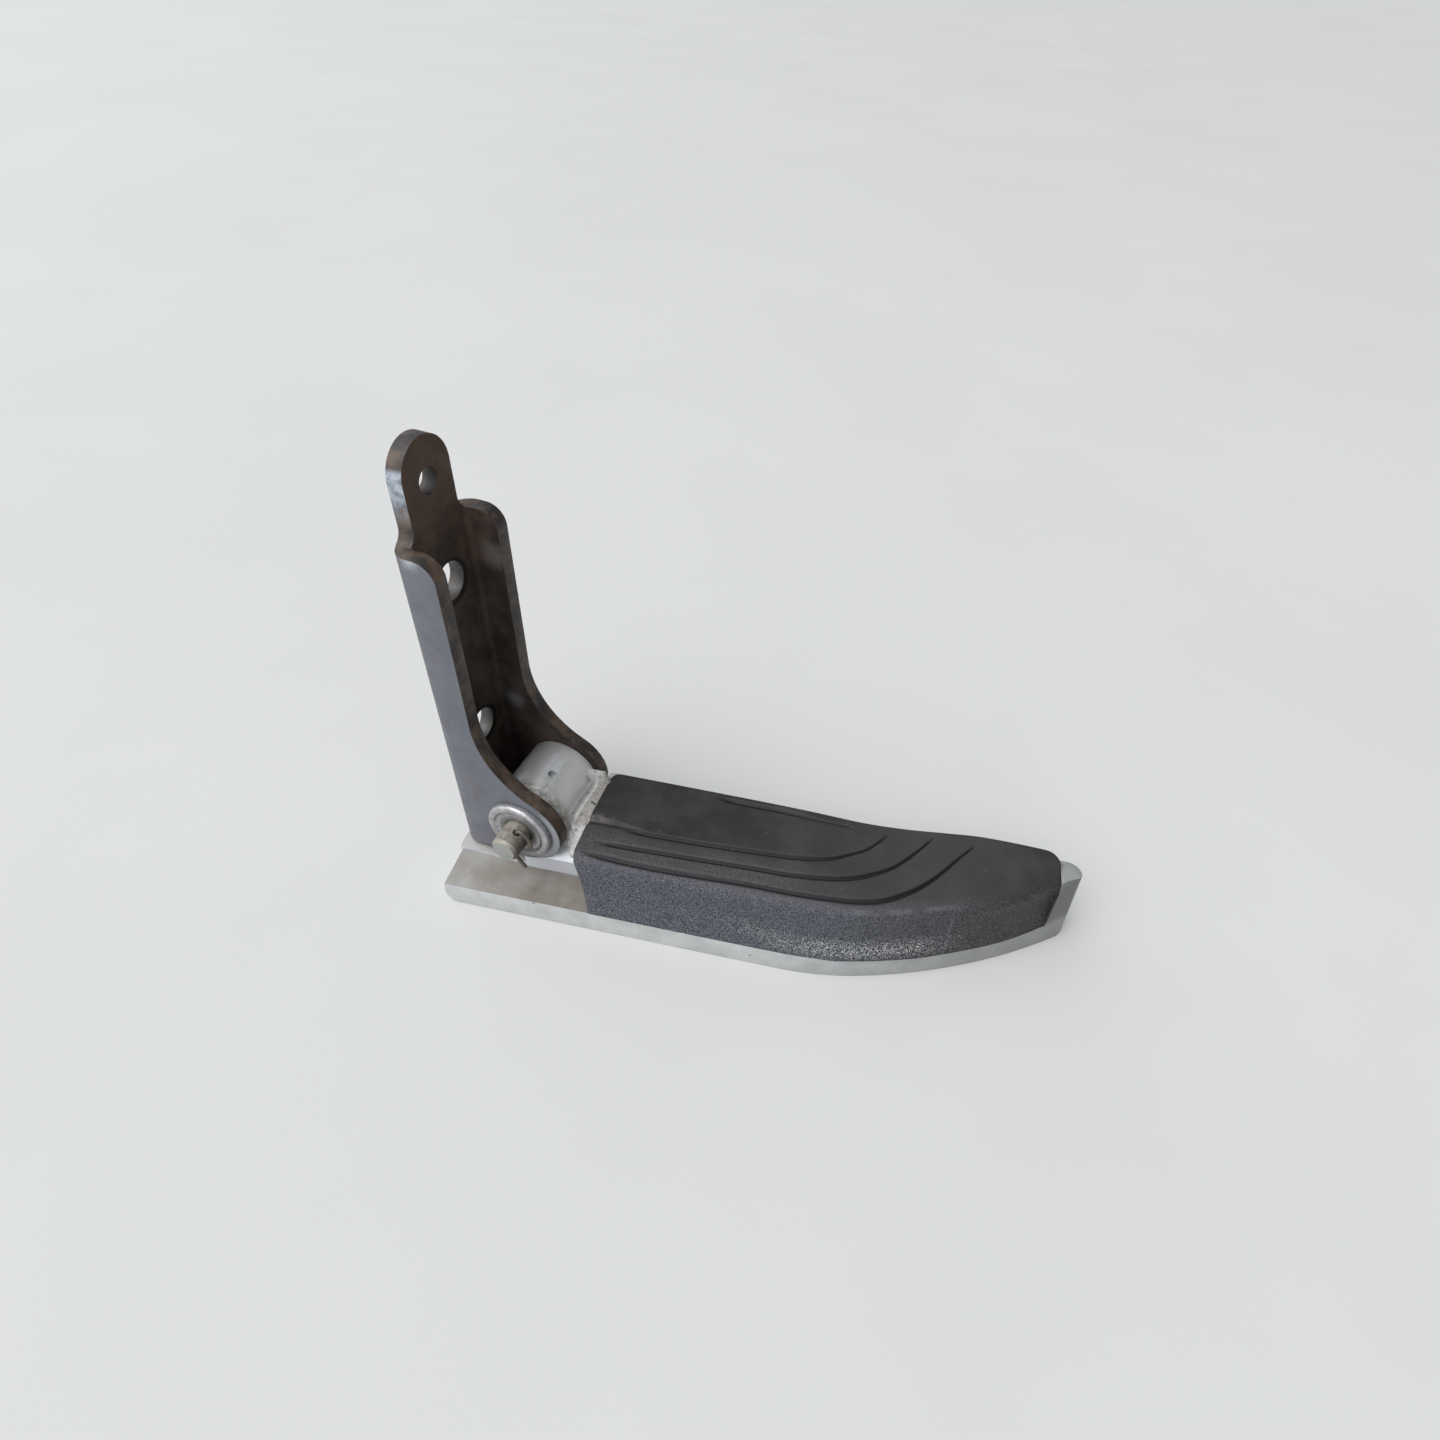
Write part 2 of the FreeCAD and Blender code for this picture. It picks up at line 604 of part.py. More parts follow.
def make_casting():
    """Build the cast footrest: blade with nose, tail ledge, core, hub, and what is cut from them."""
    body = new_body("footrest_casting")
    plan = new_sketch(body, "blade_plan", "XY_Plane", f"-{BASE_DROP}", "footrest_yaw")
    draw_blade(plan)
    blade = pad(body, plan, f"{BASE_DROP} - nose_drop")
    bind(blade, "TaperAngle", "1 deg * -side_draft")
    doc.recompute()

    deck = new_sketch(body, "deck", "XY_Plane", f"-{SHELF_DROP}", "footrest_yaw")
    rectangle(deck, f"-{OUTSIDE}", f"-{OUTSIDE}", NOSE_START, OUTSIDE)
    pocket(body, deck, f"{SHELF_DROP} + sheet_thickness", flipped=True)

    ledge = new_sketch(body, "tail_ledge", "XY_Plane", f"-{SHELF_DROP}", "footrest_yaw")
    polygon(ledge, [
        ("-tail_length", "-ledge_near_tail"), ("pad_root", "-ledge_near_neck"),
        ("pad_root", "far_half - pad_far_lean"), ("-tail_length", "far_half - pad_far_lean"),
    ])
    pad(body, ledge, "ledge_step")

    core = new_sketch(body, "core", "XY_Plane", f"-{SHELF_DROP}", "footrest_yaw")
    draw_core(core, "0")
    pad(body, core, f"{SHELF_DROP} - neck_drop")

    neck = new_sketch(body, "neck", "XY_Plane", f"-{SHELF_DROP}", "footrest_yaw")
    rectangle(neck, "neck_start", "-ledge_near_neck", "neck_length", "far_half - pad_far_lean")
    pad(body, neck, f"{SHELF_DROP} - neck_drop")

    pedestal = new_sketch(body, "pedestal", "XZ_Plane")
    rectangle(pedestal, "-pedestal_back", f"-{LEDGE_DROP}", "hub_radius", "-neck_drop")
    pad(body, pedestal, f"2 * {HUB_HALF}", both_ways=True)

    tail_end = new_sketch(body, "tail_end", "XY_Plane", f"-{BASE_DROP}")
    rectangle(tail_end, f"-{OUTSIDE}", f"-{OUTSIDE}", "-web_back_to_pivot + tail_to_web_back", OUTSIDE)
    pocket(body, tail_end, BASE_DROP, flipped=True)

    for side, lift in (("near", HUB_HALF), ("far", f"-{HUB_HALF}")):
        scoop = new_sketch(body, f"{side}_ear_scoop", "XZ_Plane", lift)
        circle(scoop, "0", "0", SCOOP_RADIUS)
        pocket(body, scoop, "2 * sheet_thickness", flipped=(side == "near"))

    hub = new_sketch(body, "hub", "XZ_Plane")
    circle(hub, "0", "0", "hub_radius")
    pad(body, hub, f"2 * {HUB_HALF}", both_ways=True)
    soften_casting(body)

    bore = new_sketch(body, "bore", "XZ_Plane")
    circle(bore, "0", "0", "pin_radius + pin_running_fit")
    pocket(body, bore, "2 * bracket_width", both_ways=True)

    oil = new_sketch(body, "oil_hole", "XY_Plane", "hub_radius * cos(oil_hole_angle) - oil_hole_depth")
    circle(oil, "hub_radius * sin(oil_hole_angle)", "-oil_hole_radius", "oil_hole_radius")
    pocket(body, oil, "2 * oil_hole_depth", flipped=True)

    seat = new_sketch(body, "detent_hole", "XZ_Plane", f"-{HUB_HALF}")
    circle(seat, "detent_offset * cos(detent_angle)", "detent_offset * sin(detent_angle)", "detent_hole_radius")
    pocket(body, seat, "detent_hole_depth", flipped=True)

    hollow = new_sketch(body, "under_pockets", "XY_Plane", f"-{BASE_DROP}", "footrest_yaw")
    middle = "(pocket_far - pocket_near) / 2"
    pitch = f"({BEND_START} - pocket_first) / pocket_count"
    last = f"pocket_first + {pitch} - pocket_rib"
    rectangle(hollow, "pocket_first", "-pocket_near", last, f"{middle} - pocket_rib / 2")
    rectangle(hollow, "pocket_first", f"{middle} + pocket_rib / 2", last, "pocket_far")
    first = pocket(body, hollow, "pocket_depth", flipped=True)
    row = body.newObject("PartDesign::LinearPattern", "under_pocket_row")
    row.Originals = [first]
    row.Direction = (hollow, ["H_Axis"])
    row.Mode = "Spacing"
    bind(row, "Offset", pitch)
    bind(row, "Occurrences", "pocket_count")
    body.Tip = row
    doc.recompute()
    return body


def corner_arc(corner, before, after, radius):
    """Find where a rounding between two straight edges starts, ends and has its centre."""
    back = (before - corner).normalize()
    ahead = (after - corner).normalize()
    half = back.getAngle(ahead) / 2
    middle = (back + ahead).normalize()
    reach = radius / math.tan(half)
    return corner + back * reach, corner + ahead * reach, corner + middle * (radius / math.sin(half))


def draw_section(sketch, spots, corners):
    """Draw one cross-section of the rubber pad: foot, leaning flank, round edges, top and far side.

    Args:
        sketch: The sketch to draw in.
        spots: The near foot, near crest, far crest and far foot as numbers, to start from.
        corners: The same four places as expressions.
    """
    radius = size("pad_edge_round")
    near_foot, crest, far_crest, far_foot = spots
    near_end, top_start, near_centre = corner_arc(crest, near_foot, far_crest, radius)
    top_end, far_start, far_centre = corner_arc(far_crest, crest, far_foot, radius)

    def heading(point, centre):
        return math.degrees(math.atan2(point.y - centre.y, point.x - centre.x))

    foot = sketch.addGeometry(Part.LineSegment(near_foot, far_foot))
    far_side = sketch.addGeometry(Part.LineSegment(far_foot, far_start))
    turn = (heading(far_start, far_centre), heading(top_end, far_centre))
    far_round = sketch.addGeometry(arc(far_centre, radius, *turn))
    top = sketch.addGeometry(Part.LineSegment(top_end, top_start))
    turn = (heading(top_start, near_centre), heading(near_end, near_centre))
    near_round = sketch.addGeometry(arc(near_centre, radius, *turn))
    flank = sketch.addGeometry(Part.LineSegment(near_end, near_foot))
    join(sketch, foot, 2, far_side, 1)
    tangent(sketch, far_side, 2, far_round, 1)
    tangent(sketch, far_round, 2, top, 1)
    tangent(sketch, top, 2, near_round, 1)
    tangent(sketch, near_round, 2, flank, 1)
    join(sketch, flank, 2, foot, 1)
    pin_point(sketch, foot, 1, *corners[0])
    pin_point(sketch, foot, 2, *corners[3])
    for spot, place, edges in ((crest, corners[1], (flank, top)), (far_crest, corners[2], (far_side, top))):
        point = sketch.addGeometry(Part.Point(spot), True)
        pin_point(sketch, point, 1, *place)
        for edge in edges:
            sketch.addConstraint(Sketcher.Constraint("PointOnObject", point, 1, edge))
    for edge in (far_round, near_round):
        drive(sketch, Sketcher.Constraint("Radius", edge, radius), "pad_edge_round")


def pad_section(body, step, steps):
    """Place and draw the pad's cross-section at one step of its length."""
    centre, turn = blade_curve()[1], math.radians(blade_curve()[3])
    last = size("tip_reach") - size("nose_length") - size("pad_clearance")
    along = f"(pad_root + ({PAD_END} - pad_root) * {step} / {steps})"
    place = size("pad_root") + (last - size("pad_root")) * step / steps
    near_side, near_y = "(pad_inset - near_half)", size("pad_inset") - size("near_half")
    if place > bend_place():
        middle, radius, height = BEND_START, "bend_radius", "(bend_radius - near_half)"
        middle_x, height_y = bend_place(), size("bend_radius") - size("near_half")
        if place > centre.x + size("tip_sweep_radius") * math.sin(turn):
            rest = f"(tip_reach - {size('tip_reach') - centre.x})"
            middle, radius, height = rest, "tip_sweep_radius", str(centre.y)
            middle_x, height_y = centre.x, centre.y
        share = (place - bend_place()) / (last - bend_place())
        inset = f"pad_inset + pad_tip_inset * ({along} - {BEND_START}) / ({PAD_END} - {BEND_START})"
        near_side = f"({height} - sqrt({radius} ^ 2 - ({along} - {middle}) ^ 2) + {inset})"
        near_y = height_y - math.sqrt(size(radius) ** 2 - (place - middle_x) ** 2)
        near_y += size("pad_inset") + size("pad_tip_inset") * share
    crest, crest_z = "pad_crest", size("pad_crest")
    fall = last - size("pad_fall_length")
    if place > fall:
        crest = f"(pad_crest - pad_crest_fall * (1 - ({PAD_END} - {along}) / pad_fall_length))"
        crest_z -= size("pad_crest_fall") * (place - fall) / size("pad_fall_length")
    dip, dip_x = "(tip_reach - pad_dip_setback)", size("tip_reach") - size("pad_dip_setback")
    if place < dip_x:
        far_rise = f"(pad_far_root + (pad_far_dip - pad_far_root) * {along} / {dip})"
        far_z = size("pad_far_root") + (size("pad_far_dip") - size("pad_far_root")) * place / dip_x
    else:
        far_rise = f"(pad_far_dip + (pad_far_end - pad_far_dip) * ({along} - {dip}) / ({PAD_END} - {dip}))"
        share = (place - dip_x) / (last - dip_x)
        far_z = size("pad_far_dip") + (size("pad_far_end") - size("pad_far_dip")) * share
    fade = f"({PAD_END} - {along}) / ({PAD_END} - pad_root)"
    lean = f"({SHELF_DROP} + {crest}) * tan(pad_lean) * {fade}"
    shelf_z = shelf_height()
    lean_y = (crest_z - shelf_z) * math.tan(math.radians(size("pad_lean"))) * (steps - step) / steps
    spots = [
        Vector(near_y, shelf_z, 0), Vector(near_y + lean_y, crest_z, 0),
        Vector(size("far_half") - size("pad_far_lean"), far_z, 0),
        Vector(size("far_half") - size("pad_inset"), shelf_z, 0),
    ]
    corners = [
        (near_side, f"-{SHELF_DROP}"), (f"{near_side} + {lean}", crest),
        ("far_half - pad_far_lean", far_rise), ("far_half - pad_inset", f"-{SHELF_DROP}"),
    ]
    sketch = new_sketch(body, f"pad_section_{step}", "YZ_Plane", "0", "footrest_yaw")
    draw_section(sketch, spots, corners)
    bind(sketch, "AttachmentOffset.Base.x", f"{along} * sin(footrest_yaw)")
    bind(sketch, "AttachmentOffset.Base.z", f"{along} * cos(footrest_yaw)")
    return sketch


def shelf_height():
    """Give the height of the shelf under the rubber as a number."""
    slope = math.radians(size("foot_slope"))
    foot = (size("web_back_to_pivot") * math.sin(slope) + size("ear_radius")) / math.cos(slope)
    return -(foot + size("stop_clearance") + size("ledge_step"))


def make_pad():
    """Loft the rubber pad along the blade, cut its slanted end and its hollow, and groove its top."""
    body = new_body("rubber_pad")
    steps = int(size("pad_steps"))
    sections = [pad_section(body, step, steps) for step in range(steps + 1)]
    loft = body.newObject("PartDesign::AdditiveLoft", "pad_loft")
    loft.Profile = sections[0]
    loft.Sections = sections[1:]

    end_cut = new_sketch(body, "inner_end", "XZ_Plane", "0", "pad_cut_yaw")
    rise = "pad_cut_depth * tan(pad_cut_slant)"
    polygon(end_cut, [
        ("-pad_cut_depth", "-pad_cut_depth"), (f"pad_cut_top + {rise}", "-pad_cut_depth"),
        (f"pad_cut_top - {rise}", "pad_cut_depth"), ("-pad_cut_depth", "pad_cut_depth"),
    ])
    pocket(body, end_cut, OUTSIDE, both_ways=True)

    hollow = new_sketch(body, "pad_hollow", "XY_Plane", f"-{SHELF_DROP}", "footrest_yaw")
    draw_core(hollow, "pad_clearance")
    pocket(body, hollow, f"{SHELF_DROP} - neck_drop + pad_clearance", flipped=True)

    for name in ("near", "middle", "inner", "far"):
        cut_groove(body, f"{name}_groove")
    return body


def cut_groove(body, name):
    """Cut one pointed groove along the top of the pad: a straight run, then a curve to the far side."""
    start = Vector(size(f"{name}_along"), -size(f"{name}_start"), 0)
    turn = Vector(size("tip_reach") - size(f"{name}_setback"), -size(f"{name}_across"), 0)
    run = turn - start
    heading = math.degrees(math.atan2(run.y, run.x))
    radius = size(f"{name}_radius")
    sweep = size(f"{name}_sweep")
    leftward = Vector(-run.y, run.x, 0).normalize()
    path = new_sketch(body, f"{name}_path", "XY_Plane", f"{name}_height", "footrest_yaw")
    line = path.addGeometry(Part.LineSegment(start, turn))
    curve = path.addGeometry(arc(turn + leftward * radius, radius, heading - 90, heading - 90 + sweep))
    tangent(path, line, 2, curve, 1)
    pin_point(path, line, 1, f"{name}_along", f"-{name}_start")
    pin_point(path, line, 2, f"tip_reach - {name}_setback", f"-{name}_across")
    drive(path, Sketcher.Constraint("Radius", curve, radius), f"{name}_radius")
    drive(path, Sketcher.Constraint("Angle", curve, math.radians(sweep)), f"1 deg * {name}_sweep")
    end = new_sketch(body, f"{name}_section", "YZ_Plane", "0", "footrest_yaw")
    slope = "groove_half_width / groove_depth"
    rise = f"({name}_height + groove_depth)"
    polygon(end, [
        (f"-{name}_start", f"{name}_height - groove_depth"),
        (f"-{name}_start + 2 * groove_depth * {slope}", rise),
        (f"-{name}_start - 2 * groove_depth * {slope}", rise),
    ])
    bind(end, "AttachmentOffset.Base.x", f"{name}_along * sin(footrest_yaw)")
    bind(end, "AttachmentOffset.Base.z", f"{name}_along * cos(footrest_yaw)")
    doc.recompute()
    before = body.Shape.Volume
    cut = body.newObject("PartDesign::SubtractivePipe", name)
    cut.Profile = end
    cut.Spine = path
    doc.recompute()
    if not cut.Shape.Volume < before:
        raise RuntimeError(f"{name} removed nothing")


def revolve(body, sketch):
    """Turn a half outline about the pivot axis."""
    feature = body.newObject("PartDesign::Revolution", f"{sketch.Name}_turned")
    feature.Profile = sketch
    feature.ReferenceAxis = (sketch, ["V_Axis"])
    feature.Angle = 360
    doc.recompute()
    return feature


def make_pin():
    """Turn the clevis pin, with its head on the far ear, and drill its cross hole."""
    body = new_body("pivot_pin")
    half = new_sketch(body, "pin_half", "XY_Plane")
    tail = f"-({EAR_FACE} + pin_tail)"
    head = f"({EAR_FACE} + pin_head_height)"
    polygon(half, [
        ("0", tail), ("pin_radius - pin_chamfer", tail), ("pin_radius", f"{tail} + pin_chamfer"),
        ("pin_radius", EAR_FACE), ("pin_head_radius", EAR_FACE),
        ("pin_head_radius", f"{head} - pin_chamfer"), ("pin_head_radius - pin_chamfer", head), ("0", head),
    ])
    revolve(body, half)
    tilt(body)
    cross = new_sketch(body, "cross_hole", "XY_Plane")
    circle(cross, "0", f"-({EAR_FACE} + split_pin_setback)", SPLIT_HOLE)
    pocket(body, cross, "4 * pin_radius", both_ways=True)
    return body


def tilt(body):
    """Turn a piece about the pivot by the lean of the split pin."""
    body.Placement = FreeCAD.Placement(body.Placement.Base, FreeCAD.Rotation(Vector(0, 1, 0), 1))
    bind(body, "Placement.Rotation.Angle", "1 deg * split_pin_angle")


def make_washer():
    """Turn the washer that lies between the near ear and the split pin."""
    body = new_body("pin_washer")
    half = new_sketch(body, "washer_half", "XY_Plane")
    outer = f"-({EAR_FACE} + washer_thickness)"
    dish = f"{outer} + washer_dish_depth"
    polygon(half, [
        ("pin_radius + washer_fit", dish), ("washer_dish_radius - washer_dish_depth", dish),
        ("washer_dish_radius", outer), ("washer_radius - washer_rim", outer),
        ("washer_radius", f"{outer} + washer_rim"), ("washer_radius", f"-{EAR_FACE}"),
        ("pin_radius + washer_fit", f"-{EAR_FACE}"),
    ])
    revolve(body, half)
    return body


def make_split_pin():
    """Bend the split pin: a leg through the clevis pin, hooked round it above and turned aside below."""
    body = new_body("split_pin")
    path = new_sketch(body, "wire_path", "XZ_Plane", f"{EAR_FACE} + split_pin_setback")
    crook_r, hook_r, elbow_r = size("split_crook_radius"), size("split_hook_radius"), size("split_elbow_radius")
    reach = size("pin_radius") + size("split_rise")
    bow = 180 - size("split_crook_turn")
    lean = Vector(math.cos(math.radians(bow)), math.sin(math.radians(bow)), 0)
    crook_centre = Vector(crook_r, reach, 0)
    hook_centre = crook_centre - lean * (hook_r - crook_r)
    turn = size("split_elbow_turn")
    aside = math.radians(turn)
    hook = path.addGeometry(arc(hook_centre, hook_r, 0, bow))
    crook = path.addGeometry(arc(crook_centre, crook_r, bow, 180))
    leg = path.addGeometry(Part.LineSegment(Vector(0, reach, 0), Vector(0, -reach, 0)))
    elbow = path.addGeometry(arc(Vector(elbow_r, -reach, 0), elbow_r, 180, 180 + turn))
    corner = Vector(elbow_r * (1 - math.cos(aside)), -reach - elbow_r * math.sin(aside), 0)
    away = Vector(math.sin(aside), -math.cos(aside), 0)
    toe = path.addGeometry(Part.LineSegment(corner, corner + away * size("split_toe")))
    tangent(path, hook, 2, crook, 1)
    tangent(path, crook, 2, leg, 1)
    tangent(path, leg, 2, elbow, 1)
    tangent(path, elbow, 2, toe, 1)
    pin_point(path, leg, 1, "0", "pin_radius + split_rise")
    pin_point(path, leg, 2, "0", "-pin_radius - split_rise")
    drive(path, Sketcher.Constraint("Radius", crook, crook_r), "split_crook_radius")
    drive(path, Sketcher.Constraint("Angle", crook, math.radians(180 - bow)), "1 deg * split_crook_turn")
    drive(path, Sketcher.Constraint("Radius", hook, hook_r), "split_hook_radius")
    drive(path, Sketcher.Constraint("Angle", hook, math.radians(bow)), "1 deg * (180 - split_crook_turn)")
    drive(path, Sketcher.Constraint("Radius", elbow, elbow_r), "split_elbow_radius")
    drive(path, Sketcher.Constraint("Angle", elbow, aside), "1 deg * split_elbow_turn")
    drive(path, Sketcher.Constraint("Distance", toe, size("split_toe")), "split_toe")
    step = "(split_hook_radius - split_crook_radius)"
    height = f"pin_radius + split_rise - {step} * sin(split_crook_turn)"
    end = new_sketch(body, "wire_section", "XY_Plane", height)
    reach_out = f"split_crook_radius + {step} * cos(split_crook_turn) + split_hook_radius"
    circle(end, reach_out, f"-({EAR_FACE} + split_pin_setback)", "split_wire_radius")
    sweep = body.newObject("PartDesign::AdditivePipe", "wire")
    sweep.Profile = end
    sweep.Spine = path
    doc.recompute()
    tilt(body)
    return body


def at_detent(item, depth):
    """Put a piece on the axis of the detent hole, at a depth along the pivot."""
    bind(item, "Placement.Base.x", "web_back_to_pivot + detent_offset * cos(detent_angle)")
    bind(item, "Placement.Base.y", depth)
    bind(item, "Placement.Base.z", f"detent_offset * sin(detent_angle) - {PIVOT_DROP}")


def make_ball():
    """Make the detent ball, standing in its hole just clear of the far ear."""
    ball = doc.addObject("Part::Sphere", "detent_ball")
    ball.Label = "detent_ball"
    bind(ball, "Radius", "detent_ball_radius")
    at_detent(ball, BALL_PLACE)
    return ball


def make_spring():
    """Wind the detent spring behind the ball."""
    body = new_body("detent_spring")
    wire = new_sketch(body, "spring_wire", "XY_Plane")
    circle(wire, "detent_spring_radius", "0", "detent_wire_radius")
    coil = body.newObject("PartDesign::AdditiveHelix", "coil")
    coil.Profile = wire
    coil.ReferenceAxis = (wire, ["V_Axis"])
    coil.Mode = "height-turns-angle"
    bind(coil, "Height", SPRING_LENGTH)
    bind(coil, "Turns", "detent_spring_turns")
    at_detent(body, f"{HUB_HALF} - detent_hole_depth + detent_wire_radius")
    doc.recompute()
    return body


def write(pieces):
    """Check every object of the document and write each piece to its file."""
    doc.recompute()
    for item in doc.Objects:
        if "Invalid" in item.State or "Error" in item.State:
            raise RuntimeError(f"{item.Name} failed: {item.State}")
    os.makedirs("parts", exist_ok=True)
    for piece in pieces:
        shape = piece.Shape
        if shape.isNull() or not shape.isValid():
            raise RuntimeError(f"{piece.Label} has no valid shape")
        print(piece.Label, len(shape.Solids), round(shape.Volume, 1), shape.BoundBox)
        shape.exportStep(f"parts/{piece.Label}.step")


write([
    make_bracket(), make_casting(), make_pad(), make_pin(),
    make_washer(), make_split_pin(), make_ball(), make_spring(),
])
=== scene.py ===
"""Looks of a folding motorcycle footrest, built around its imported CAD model.

Sizes and places are in mm, unless a class says otherwise. A place is in the row frame, or in the footrest's
own frame: along the blade, across it towards its far side, and up, all from the pivot.
"""
from __future__ import annotations

import json
import logging
import math
from dataclasses import dataclass
from enum import Enum

import bpy
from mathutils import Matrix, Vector

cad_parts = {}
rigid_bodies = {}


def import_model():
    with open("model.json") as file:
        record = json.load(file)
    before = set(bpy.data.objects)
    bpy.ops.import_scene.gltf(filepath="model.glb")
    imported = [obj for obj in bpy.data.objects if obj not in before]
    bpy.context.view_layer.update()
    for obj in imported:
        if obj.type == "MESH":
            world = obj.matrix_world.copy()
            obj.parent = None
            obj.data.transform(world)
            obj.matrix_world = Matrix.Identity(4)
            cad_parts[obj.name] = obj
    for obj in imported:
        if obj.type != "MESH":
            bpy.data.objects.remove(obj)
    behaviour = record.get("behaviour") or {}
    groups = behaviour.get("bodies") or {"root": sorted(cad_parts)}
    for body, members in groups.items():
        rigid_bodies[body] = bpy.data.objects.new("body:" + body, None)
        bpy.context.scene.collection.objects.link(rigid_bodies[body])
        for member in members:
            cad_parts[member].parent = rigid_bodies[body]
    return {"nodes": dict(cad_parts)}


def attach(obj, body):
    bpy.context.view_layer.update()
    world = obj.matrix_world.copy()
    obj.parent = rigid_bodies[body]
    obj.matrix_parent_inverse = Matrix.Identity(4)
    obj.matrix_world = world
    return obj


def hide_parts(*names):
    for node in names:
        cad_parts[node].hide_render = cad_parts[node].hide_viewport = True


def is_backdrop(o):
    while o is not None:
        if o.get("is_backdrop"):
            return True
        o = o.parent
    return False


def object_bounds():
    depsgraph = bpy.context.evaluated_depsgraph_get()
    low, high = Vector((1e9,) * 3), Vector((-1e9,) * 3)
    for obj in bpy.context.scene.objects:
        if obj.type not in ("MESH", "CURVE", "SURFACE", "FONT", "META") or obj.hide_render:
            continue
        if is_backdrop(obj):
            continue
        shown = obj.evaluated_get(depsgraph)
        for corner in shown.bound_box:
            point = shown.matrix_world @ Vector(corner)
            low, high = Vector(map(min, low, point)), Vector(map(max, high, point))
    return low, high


LOG = logging.getLogger("footrest")
MM = 0.001
MERGE = 1e-6
PIVOT = Vector((22.3, 0.0, -44.0))
PIVOT_DIAGONAL = PIVOT.x - PIVOT.z
PEG_YAW = math.radians(10.4)
SHELF = -17.38
SHEET = 4.0
EAR_INNER = 10.2
EAR_OUTER = 14.2
BOLT_HEIGHTS = (24.0, -24.0)
TAB_HOLE_HEIGHT = 50.5
WASHER_FACE = -15.8

Color = tuple[float, float, float]
Place = tuple[float, float, float]
Range = tuple[float, float]
Socket = bpy.types.NodeSocket


class Body(Enum):
    """The CAD bodies that pieces ride on."""

    BRACKET = "bracket"
    FOOTREST = "footrest"


def deselect_all() -> None:
    """Leave object mode's selection empty."""
    if bpy.context.object and bpy.context.object.mode != "OBJECT":
        bpy.ops.object.mode_set(mode="OBJECT")
    bpy.ops.object.select_all(action="DESELECT")


def make_active(piece: bpy.types.Object) -> None:
    """Select one object alone and make it the active one.

    Args:
        piece: The object.
    """
    deselect_all()
    piece.select_set(True)
    bpy.context.view_layer.objects.active = piece


def smooth_step(value: float, low: float, high: float) -> float:
    """Ease from 0 at low to 1 at high."""
    share = min(max((value - low) / (high - low), 0.0), 1.0)
    return share * share * (3 - 2 * share)


def spread(low: float, high: float, steps: int) -> list[float]:
    """List evenly spaced places from low to high."""
    return [low + step / steps * (high - low) for step in range(steps + 1)]


def peg_point(along: float, across: float, height: float) -> Vector:
    """Turn a place in the footrest's own frame into the row frame.

    Args:
        along: The distance along the blade.
        across: The distance across it.
        height: The height above the pivot.

    Returns:
        The place in metres.
    """
    x = PIVOT.x + along * math.cos(PEG_YAW) - across * math.sin(PEG_YAW)
    y = along * math.sin(PEG_YAW) + across * math.cos(PEG_YAW)
    return Vector((x, y, PIVOT.z + height)) * MM


@dataclass(frozen=True)
class Cloud:
    """Cloudy patches: how many per mm, where their edge starts and ends, how fine and how strong they are."""

    scale: float
    low: float
    high: float
    detail: float = 4.0
    share: float = 1.0


@dataclass(frozen=True)
class Spot:
    """One round patch: its centre, radius and soft edge, how ragged and how strong it is."""

    centre: Place
    radius: float
    edge: float
    ragged: float = 0.0
    share: float = 1.0


@dataclass(frozen=True)
class Specks:
    """Small dots: how many per mm, where their edge starts and ends, and the clouds they gather in."""

    scale: float
    edge: Range
    clouds: Cloud
    share: float = 1.0


@dataclass(frozen=True)
class Relief:
    """Fine bumps: how many per mm, how fine and strong they are, and how high in metres."""

    scale: float
    detail: float
    strength: float
    height: float


@dataclass(frozen=True)
class Reading:
    """What a finish on the footrest reads at each point: its place in both frames."""

    place: Socket
    along: Socket
    across: Socket
    height: Socket


